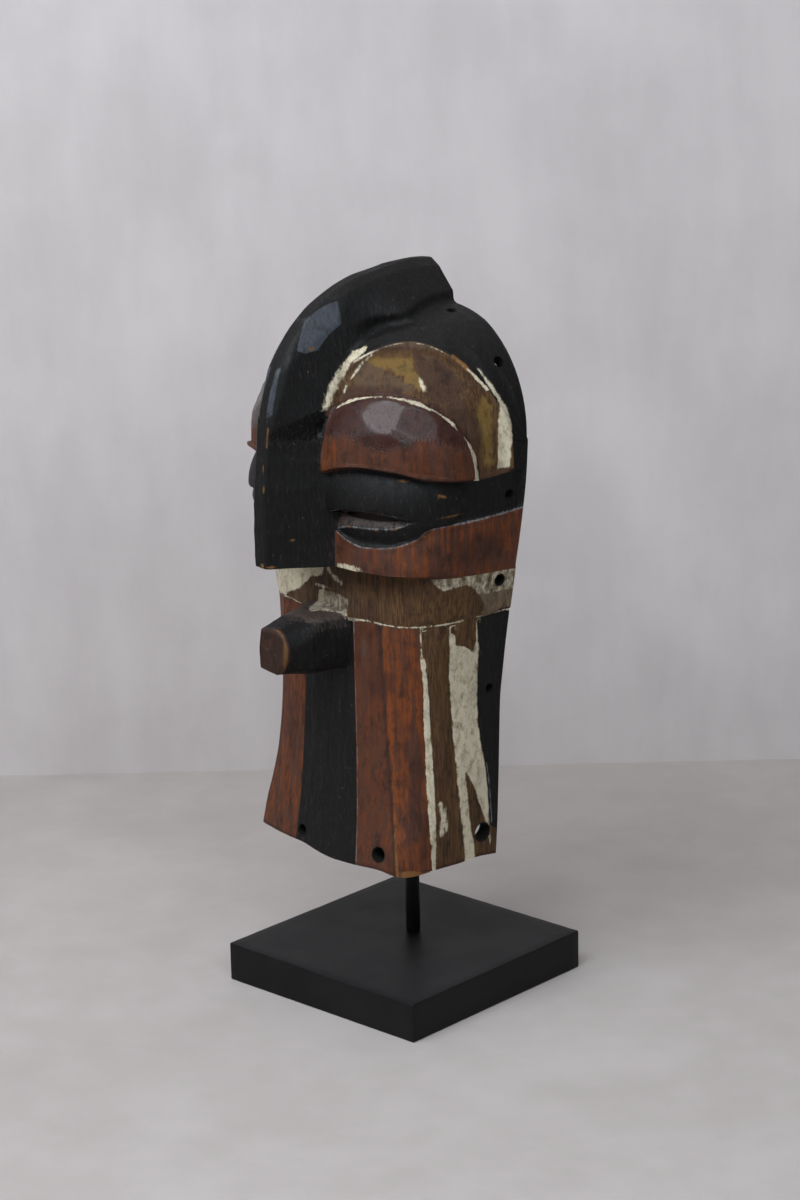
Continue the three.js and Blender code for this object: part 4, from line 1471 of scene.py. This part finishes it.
def black_coat(sh, rubbed_and_sheen):
    """Black with dust and scratches, worn through on edges, and rubbed grey with a painted reflection on the
    crest's facets.
    """
    specks = sh.noise(sh.stretched(1.5, 1.5, 2.1), 2, 0.5)
    return sh.layers(
        sh.mix(sh.ramp(sh.grain, 0.5, 0.8, 0, 0.7), BLACK_PAINT, BLACK_DUSTY),
        (sh.ramp(sh.scratches, 0.66, 0.78, 0, 0.5), BLACK_DUSTY),
        (sh.times(sh.ramp(sh.edge, 0.14, 0.3), sh.ramp(sh.flakes, 0.5, 0.64)), GOLDEN_WEAR_AND_HIGHLIGHT),
        (sh.ramp(specks, 0.70, 0.77, 0, 0.7), OLIVE_WOOD),
        # Painted reflection over rubbed black on the crest's facets
        (rubbed_and_sheen, RUBBED_AND_SHEEN_GREY),
    )


def marks_on_paint(sh, colour):
    """The mouth's bare end with its cross and its rim of worn wood and painted highlight, then film and the
    slits' painted light, worn spots and thin grey lines, some of them painted highlights.
    """
    end_face = sh.math("GREATER_THAN", sh.field("stub_rim"), NOWHERE + 1)
    end_rim = sh.times(sh.painted("stub_rim", 0.5, 0.25), end_face)
    grey = sh.times(sh.drawn("grey", 0.4), sh.ramp(sh.dabs, 0.4, 0.55, 0.3, 1))
    return sh.layers(
        colour,
        (end_face, sh.mix(sh.ramp(sh.flakes, 0.35, 0.6), DEEP_RED, END_GRAIN)),
        # Worn rim of the mouth's end, widened as a painted highlight
        (sh.times(end_rim, 0.5), GOLDEN_WEAR_AND_HIGHLIGHT),
        (sh.times(sh.painted("stub_mark", 0.3, 0.2), 0.6), PALE_OLIVE),
        # Film, with the painted light on the slits' floors
        (sh.times(sh.soft("film", sh.dabs), 0.62), LILAC_GREY),
        (sh.times(sh.painted("worn", 0.35, 0.32), 0.85), GOLDEN_WEAR_AND_HIGHLIGHT),
        # Grey lines, among them painted highlights along the band and the slits
        (sh.times(grey, 0.42), BLUE_GREY),
    )


def chalk_coat(sh):
    """Share and colour of the chalk, in patches and lines, and thin where it covers less."""
    broken = sh.ramp(sh.noise(sh.stretched(7, 7, 9), 3, 0.6), 0.38, 0.52)
    broken = sh.math("MAXIMUM", broken, sh.ramp(sh.field("line_half"), 0.7, 0.95))
    patches = sh.math("MAXIMUM", sh.painted("chalk", 0.5, 0.8), sh.times(sh.drawn("line", 0.55), broken))
    bare = sh.math("SUBTRACT", 0.92, sh.field("cover"))
    thin = sh.add(sh.times(sh.flakes, 0.75), sh.times(sh.dabs, 0.25))
    share = sh.times(patches, sh.blend(0.85, 1.0, sh.ramp(thin, bare, sh.add(bare, 0.3))))
    dirt = sh.add(sh.times(sh.fine, 0.3), sh.times(sh.flakes, 0.7))
    return share, sh.mix(sh.ramp(dirt, 0.34, 0.54), CHALK_DIRTY, CHALK)


def painted_wood():
    """Wood under red, black, marks and chalk, then dirt and painted shade in creases; the hollow is raw and
    its holes are darkened with painted shade.
    """
    sh = PaintedWood()
    red_share, black_share = sh.painted("red", 0.4, 0.25), sh.painted("black", 0.28, 0.14)
    # Share of the crest facets' grey: rubbed black with a painted reflection
    rubbed_and_sheen = sh.times(sh.painted("rubbed", 0.3, 0.2), sh.ramp(sh.scratches, 0.35, 0.6, 0.75, 1.0))
    chalk_share, chalk = chalk_coat(sh)
    colour = sh.layers(
        # Darkening by stains and by painted shade
        bare_wood(sh), (red_share, red_coat(sh)), (sh.times(sh.soft("dark", sh.flakes), 0.75), DEEP_RED),
        (black_share, black_coat(sh, rubbed_and_sheen)),
    )
    grime = sh.ramp(sh.noise(sh.stretched(4.5, 4.5, 8), 6, 0.7), 0.48, 0.68, 0, 0.55)
    colour = sh.layers(
        marks_on_paint(sh, colour), (chalk_share, chalk),
        (sh.times(grime, sh.blend(chalk_share, 1.0, 0.5)), GRIME_AND_SHADE),
        # Painted shade: creases darkened
        (sh.ramp(sh.edge, -0.34, -0.16, 0.7, 0), GRIME_AND_SHADE),
        (sh.inner, sh.mix(sh.ramp(sh.grain, 0.3, 0.7), RAW_WOOD_DARK, RAW_WOOD)),
        # Painted shade: the lacing holes' walls darkened
        (sh.ramp(sh.bore, 0.35, 0.95), GRIME_AND_SHADE),
    )

    smooth = sh.soft("gloss", sh.fine)
    dull = sh.math("MAXIMUM", chalk_share, sh.math("MAXIMUM", sh.inner, sh.bore))
    roughness = sh.blend(red_share, 0.8, 0.62)
    roughness = sh.blend(black_share, roughness, sh.ramp(sh.streaks, 0.3, 0.7, 0.52, 0.68))
    for share, value in ((smooth, 0.24), (rubbed_and_sheen, 0.4), (dull, 0.9)):
        roughness = sh.blend(share, roughness, value)

    uneven = sh.blend(smooth, 1.0, 0.22)
    normal = sh.bump(sh.times(sh.streaks, uneven), 0.6, 0.45)
    normal = sh.bump(sh.times(sh.flakes, uneven), 0.6, 0.4, normal)
    normal = sh.bump(sh.times(sh.fine, uneven), 0.25, 0.5, normal)
    normal = sh.bump(chalk_share, 0.3, 0.8, normal)
    return sh.finish(colour, roughness, normal, 0.23)


def set_smooth(thing, angle):
    mesh = thing.data
    mesh.shade_smooth()
    mesh.set_sharp_from_angle(angle=radians(angle))


def mask_piece():
    points, faces, roots = carving_mesh()
    thing = new_mesh("mask_carving", points, faces)
    apply_boolean(thing, mouth_stub(), "UNION")
    apply_boolean(thing, join_all(hole_cutters()), "DIFFERENCE")
    mesh = thing.data
    at = vectors(mesh.vertices, "co")
    worn = {"edge": edge_field(mesh), "inner": inner_field(at), "bore": bore_field(at)}
    for name, values in {**paint_fields(at, roots), **worn}.items():
        add_field(mesh, name, values)
    mesh.transform(Matrix.Scale(MM, 4) @ mask_matrix())
    set_smooth(thing, 42)
    mesh.materials.clear()
    mesh.materials.append(painted_wood())
    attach(thing, "root")
    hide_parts("mask")


ROD_SIDES = 64
ROD_RINGS = 60
ROD_FOOT_EDGE = 0.3
ROD_TIP_EDGE = 0.5


def rod_piece():
    low = BASE_THICKNESS + TOUCH_GAP
    radius = ROD_DIAMETER / 2
    rings = [(low, radius - ROD_FOOT_EDGE), (low + ROD_FOOT_EDGE, radius)]
    rings += [(height, radius) for height in np.linspace(low + 2, ROD_TIP_HEIGHT - 2, ROD_RINGS)]
    rings += [(ROD_TIP_HEIGHT - ROD_TIP_EDGE, radius), (ROD_TIP_HEIGHT, radius - ROD_TIP_EDGE)]
    points = []
    for height, r in rings:
        for angle in round_angles(ROD_SIDES):
            points.append((ROD_PLACE[0] + r * cos(angle), ROD_PLACE[1] + r * sin(angle), height))
    thing = ringed("rod_steel", points, ROD_SIDES)
    thing.data.transform(Matrix.Scale(MM, 4))
    set_smooth(thing, 35)
    sh = Shader("black_steel")
    mottle = sh.noise(sh.stretched(2.5, 2.5, 9), 3, 0.5)
    colour = sh.mix(sh.ramp(mottle, 0.4, 0.7), (0.002, 0.002, 0.0022), (0.006, 0.006, 0.0065))
    normal = sh.bump(sh.noise(sh.stretched(0.4, 0.4, 0.4), 2), 0.03, 0.4)
    thing.data.materials.append(sh.finish(colour, sh.ramp(mottle, 0.3, 0.7, 0.42, 0.55), normal, 0.2))
    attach(thing, "root")
    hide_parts("rod")


BASE_BEVEL = {"offset": 0.8, "segments": 3, "profile": 0.5}
BASE_CUTS = 24
BASE_KNOCK = 0.18


def base_piece():
    """A board with softened edges, the top ones a little knocked."""
    body = bmesh.new()
    bmesh.ops.create_cube(body, size=1)
    for vertex in body.verts:
        vertex.co.x *= BASE_SIDE
        vertex.co.y *= BASE_SIDE
        vertex.co.z = (vertex.co.z + 0.5) * BASE_THICKNESS
    bmesh.ops.bevel(body, geom=body.edges[:], affect="EDGES", **BASE_BEVEL)
    long_edges = [e for e in body.edges if e.calc_length() > 10]
    bmesh.ops.subdivide_edges(body, edges=long_edges, cuts=BASE_CUTS, use_grid_fill=True)
    for vertex in body.verts:
        x, y, z = vertex.co
        on_edge = min(BASE_SIDE / 2 - abs(x), BASE_SIDE / 2 - abs(y)) < 1
        if on_edge and BASE_THICKNESS - z < 1:
            vertex.co.z -= BASE_KNOCK * max(0.0, float(waves(np.array(x), np.array(y), 9, 3)))
    mesh = bpy.data.meshes.new("base_board")
    body.to_mesh(mesh)
    body.free()
    thing = linked("base_board", mesh)
    thing.data.transform(Matrix.Scale(MM, 4))
    set_smooth(thing, 30)
    sh = Shader("black_paint")
    grain = sh.noise(sh.stretched(60, 2.5, 2.5), 3, 0.5)
    dust = sh.ramp(sh.noise(sh.stretched(1.3, 1.3, 1.3), 1, 0.4), 0.78, 0.82, 0, 0.4)
    mottle = sh.noise(sh.stretched(25, 25, 25), 3, 0.5)
    colour = sh.mix(sh.ramp(mottle, 0.3, 0.7), (0.0055, 0.0056, 0.0060), (0.0095, 0.0095, 0.0098))
    colour = sh.mix(dust, colour, (0.10, 0.10, 0.10))
    normal = sh.bump(grain, 0.05, 0.4)
    normal = sh.bump(sh.noise(sh.stretched(0.7, 0.7, 0.7), 3), 0.04, 0.5, normal)
    thing.data.materials.append(sh.finish(colour, sh.ramp(mottle, 0.3, 0.7, 0.4, 0.5), normal, 0.15))
    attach(thing, "root")
    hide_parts("base")


# Camera, at the photograph's viewing angle, for a picture of 800 by 1200
CAMERA_PLACE = (0.99069, -1.06590, 0.60073)
CAMERA_AZIMUTH = radians(42.857717944)
CAMERA_ELEVATION = radians(15.816325182)
CAMERA_ROLL = -0.0208870651
CAMERA_LENS = 96.448
CAMERA_SENSOR = 36


def direction(azimuth, elevation):
    """Unit vector towards an azimuth, counted from the front, and an elevation."""
    return Vector((sin(azimuth) * cos(elevation), -cos(azimuth) * cos(elevation), sin(elevation)))


def camera():
    back = direction(CAMERA_AZIMUTH, CAMERA_ELEVATION)
    right = Vector((cos(CAMERA_AZIMUTH), sin(CAMERA_AZIMUTH), 0))
    up = back.cross(right)
    across = cos(CAMERA_ROLL) * right + sin(CAMERA_ROLL) * up
    upwards = -sin(CAMERA_ROLL) * right + cos(CAMERA_ROLL) * up
    data = bpy.data.cameras.new("camera")
    data.sensor_fit = "VERTICAL"
    data.sensor_height = CAMERA_SENSOR
    data.lens = CAMERA_LENS
    data.clip_end = 50
    thing = linked("camera", data)
    turn = Matrix((across, upwards, back)).transposed().to_4x4()
    thing.matrix_world = Matrix.Translation(CAMERA_PLACE) @ turn
    bpy.context.scene.camera = thing


# Backdrop in metres, and its pale and deep colours
WALL_DISTANCE = 0.31
STAGE_SPAN = 6
WALL_HEIGHT = 3
FLOOR_COLOURS = ((0.465, 0.43, 0.41), (0.41, 0.375, 0.355))
WALL_COLOURS = ((0.65, 0.61, 0.595), (0.565, 0.525, 0.515))


def stage_plane(name, corners, pale, deep, one_sided=False):
    sh = Shader(name)
    clouds = sh.noise(sh.stretched(90, 90, 90), 5, 0.55)
    brushed = sh.noise(sh.stretched(30, 30, 120, (0, 0, 43)), 4, 0.6)
    share = sh.ramp(sh.add(sh.times(clouds, 0.6), sh.times(brushed, 0.4)), 0.32, 0.68)
    mesh = bpy.data.meshes.new(name)
    mesh.from_pydata(corners, [], [(0, 1, 2, 3)])
    mesh.materials.append(sh.finish(sh.mix(share, deep, pale), 0.9, None, 0.2))
    if one_sided:
        sh.clear_from_behind()
    thing = linked(name, mesh)


def surroundings():
    away = Vector((-sin(CAMERA_AZIMUTH), cos(CAMERA_AZIMUTH), 0))
    side = Vector((cos(CAMERA_AZIMUTH), sin(CAMERA_AZIMUTH), 0)) * STAGE_SPAN
    foot = away * WALL_DISTANCE
    near = -away * STAGE_SPAN
    top = foot + Vector((0, 0, WALL_HEIGHT))
    stage_plane("floor", [near - side, near + side, foot + side, foot - side], *FLOOR_COLOURS)
    stage_plane("wall", [foot - side, foot + side, top + side, top - side], *WALL_COLOURS, one_sided=True)


# Lights: name, azimuth and elevation in degrees, distance and size in metres, radiance and colour
LIGHT_CENTRE = (0, -0.02, 0.2)
PANELS = (
    ("window", 12, 50, 1.1, (1.02, 0.44), 8.4, (0.86, 0.92, 1.0)),
    ("side_window", 64, 32, 1.3, (0.5, 0.6), 4.2, (0.82, 0.90, 1.0)),
    ("low_window", -28, 20, 1.3, (1.5, 0.6), 0.9, (0.90, 0.94, 1.0)),
    ("ceiling", -60, 80, 1.5, (2.2, 2.2), 0.9, (1.0, 0.98, 0.97)),
)
ROOM_COLOUR = (0.82, 0.83, 0.86, 1)
ROOM_STRENGTH = 0.09


def panel(name, azimuth, elevation, distance, size, radiance, colour):
    """A soft window: a rectangle of even brightness that faces the object."""
    data = bpy.data.lights.new(name, "AREA")
    data.shape = "RECTANGLE"
    data.size, data.size_y = size
    data.energy = radiance * pi * size[0] * size[1]
    data.color = colour
    thing = linked(name, data)
    towards = direction(radians(azimuth), radians(elevation))
    thing.location = Vector(LIGHT_CENTRE) + distance * towards
    thing.rotation_euler = (-towards).to_track_quat("-Z", "Y").to_euler()


def lights():
    world = bpy.data.worlds.new("world")
    world.use_nodes = True
    background = world.node_tree.nodes["Background"]
    background.inputs["Color"].default_value = ROOM_COLOUR
    background.inputs["Strength"].default_value = ROOM_STRENGTH
    bpy.context.scene.world = world
    for light in PANELS:
        panel(*light)


camera()
surroundings()
lights()
bpy.context.scene.view_settings.view_transform = "Standard"
mask_piece()
rod_piece()
base_piece()
